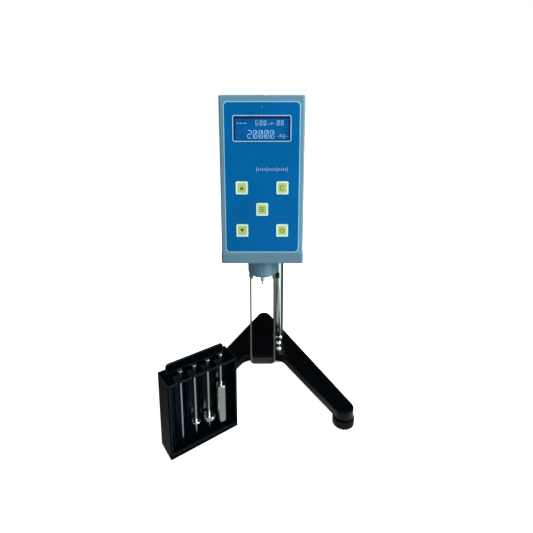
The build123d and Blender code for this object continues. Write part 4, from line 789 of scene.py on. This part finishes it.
digit_light = lit("digit_light", srgb(165, 208, 234), 0.95)
glass_front = front("display_glass")
DASH, DASH_PITCH, DASH_STROKE = 3.2 * MM, 4.6 * MM, 0.8 * MM
SMALL = {"width": 3.0 * MM, "height": 6.2 * MM, "stroke": 0.45 * MM, "pitch": 5.2 * MM}
SMALL_UNIT = {"width": 1.9 * MM, "height": 3.4 * MM, "stroke": 0.4 * MM, "pitch": 3.3 * MM}
LARGE = {"width": 4.6 * MM, "height": 9.8 * MM, "stroke": 0.65 * MM, "pitch": 7.3 * MM}
LARGE_UNIT = {"width": 2.2 * MM, "height": 4.6 * MM, "stroke": 0.5 * MM, "pitch": 3.8 * MM}
SEGMENT_THICKNESS = 0.1 * MM

left, low = on_glass(0.03, 0.235)
dash_starts = [left + i * DASH_PITCH for i in range(3)]
small = [bar((start, low), (start + DASH, low), DASH_STROKE) for start in dash_starts]
small += text_bars("60.0", *on_glass(0.385, 0.325), **SMALL)
small += text_bars("rP-", *on_glass(0.62, 0.325), **SMALL_UNIT)
small += text_bars("0.0", *on_glass(0.78, 0.325), **SMALL)
large = text_bars("2000.0", *on_glass(0.235, 0.915), **LARGE)
unit = text_bars("-Pa-", *on_glass(0.78, 0.915), **LARGE_UNIT)
for name, lit_bars in (("small_digits", small), ("large_digits", large), ("unit_marks", unit)):
    plate(name, lit_bars, glass_front, SEGMENT_THICKNESS, digit_light, "head")
print("display bars:", len(small) + len(large) + len(unit))

# %% [markdown]
# ## A printed scale
# Between the display and the keys the film carries a plain row of pale ticks, every fifth one taller.

# %% Scale ticks
TICKS = 16
TICK_PITCH = 2.67 * MM
SCALE_LEFT = panel.x - 7.0 * MM
SCALE_MIDDLE = 364.7 * MM
ticks = []
for number in range(TICKS):
    reach = (3.1 if number % 5 == 0 else 1.9) * MM
    x = SCALE_LEFT + number * TICK_PITCH
    ticks.append(bar((x, SCALE_MIDDLE + reach), (x, SCALE_MIDDLE - reach), 0.8 * MM))
plate("film_scale", ticks, film_front, PRINT, outline_film, "head")
print("ticks:", TICKS)

# %% [markdown]
# ## Keys
# Each key is a yellow-green window with a pale border, and carries one dark sign: arrows for choosing, a ring
# for stopping, a bar for starting. The border and sign ride on the key, so they sink with it.

# %% Key borders and signs
key_border_film = printed_film("key_border_film", srgb(190, 234, 226), 0.35)
key_ink = printed_film("key_ink", srgb(74, 84, 44), 0.45)
KEY_BORDER = 2.0 * MM
SIGN = 0.06 * MM


def arrow(x, z, reach, rise):
    """A solid triangle: reach is half its width, rise its height, negative when it points down."""
    return [[(x - reach, z - rise / 2), (x + reach, z - rise / 2), (x, z + rise / 2)]]


def circle_band(x, z, radius, width, start=0.0, end=360.0, steps=24):
    """A round band as a fan of quads."""
    quads = []
    for step in range(steps):
        first = radians(start + (end - start) * step / steps)
        second = radians(start + (end - start) * (step + 1) / steps)
        inner, outer = radius - width / 2, radius + width / 2
        quads.append(
            [
                (x + outer * cos(first), z + outer * sin(first)),
                (x + outer * cos(second), z + outer * sin(second)),
                (x + inner * cos(second), z + inner * sin(second)),
                (x + inner * cos(first), z + inner * sin(first)),
            ]
        )
    return quads


def key_sign(kind, x, z):
    """The outlines of one key's sign."""
    if kind == "up":
        return arrow(x, z, 3.0 * MM, 5.0 * MM)
    if kind == "down":
        return arrow(x, z, 3.0 * MM, -5.0 * MM)
    if kind == "next":
        heights = (z - 2.4 * MM, z, z + 2.4 * MM)
        return [bar((x - 3.5 * MM, height), (x + 3.5 * MM, height), 0.9 * MM) for height in heights]
    if kind == "turn":
        return circle_band(x, z, 3.0 * MM, 0.9 * MM, 40, 320)
    return circle_band(x, z, 2.8 * MM, 0.9 * MM, 120, 420) + [bar((x, z), (x, z + 4.2 * MM), 0.9 * MM)]


signs = {
    "left_upper_key": "up",
    "right_upper_key": "turn",
    "middle_key": "next",
    "left_lower_key": "down",
    "right_lower_key": "power",
}
for key, kind in signs.items():
    spot, key_size, key_front = middle(key), size(key), front(key)
    frame_ring(
        key + "_border",
        spot.x,
        spot.z,
        key_size.x - 0.5 * MM,
        key_size.z - 0.5 * MM,
        1.6 * MM,
        KEY_BORDER,
        key_front,
        SIGN,
        key_border_film,
        key + "_cap",
    )
    plate(key + "_sign", key_sign(kind, spot.x, spot.z), key_front, SIGN, key_ink, key + "_cap")
print("keys dressed:", len(signs))
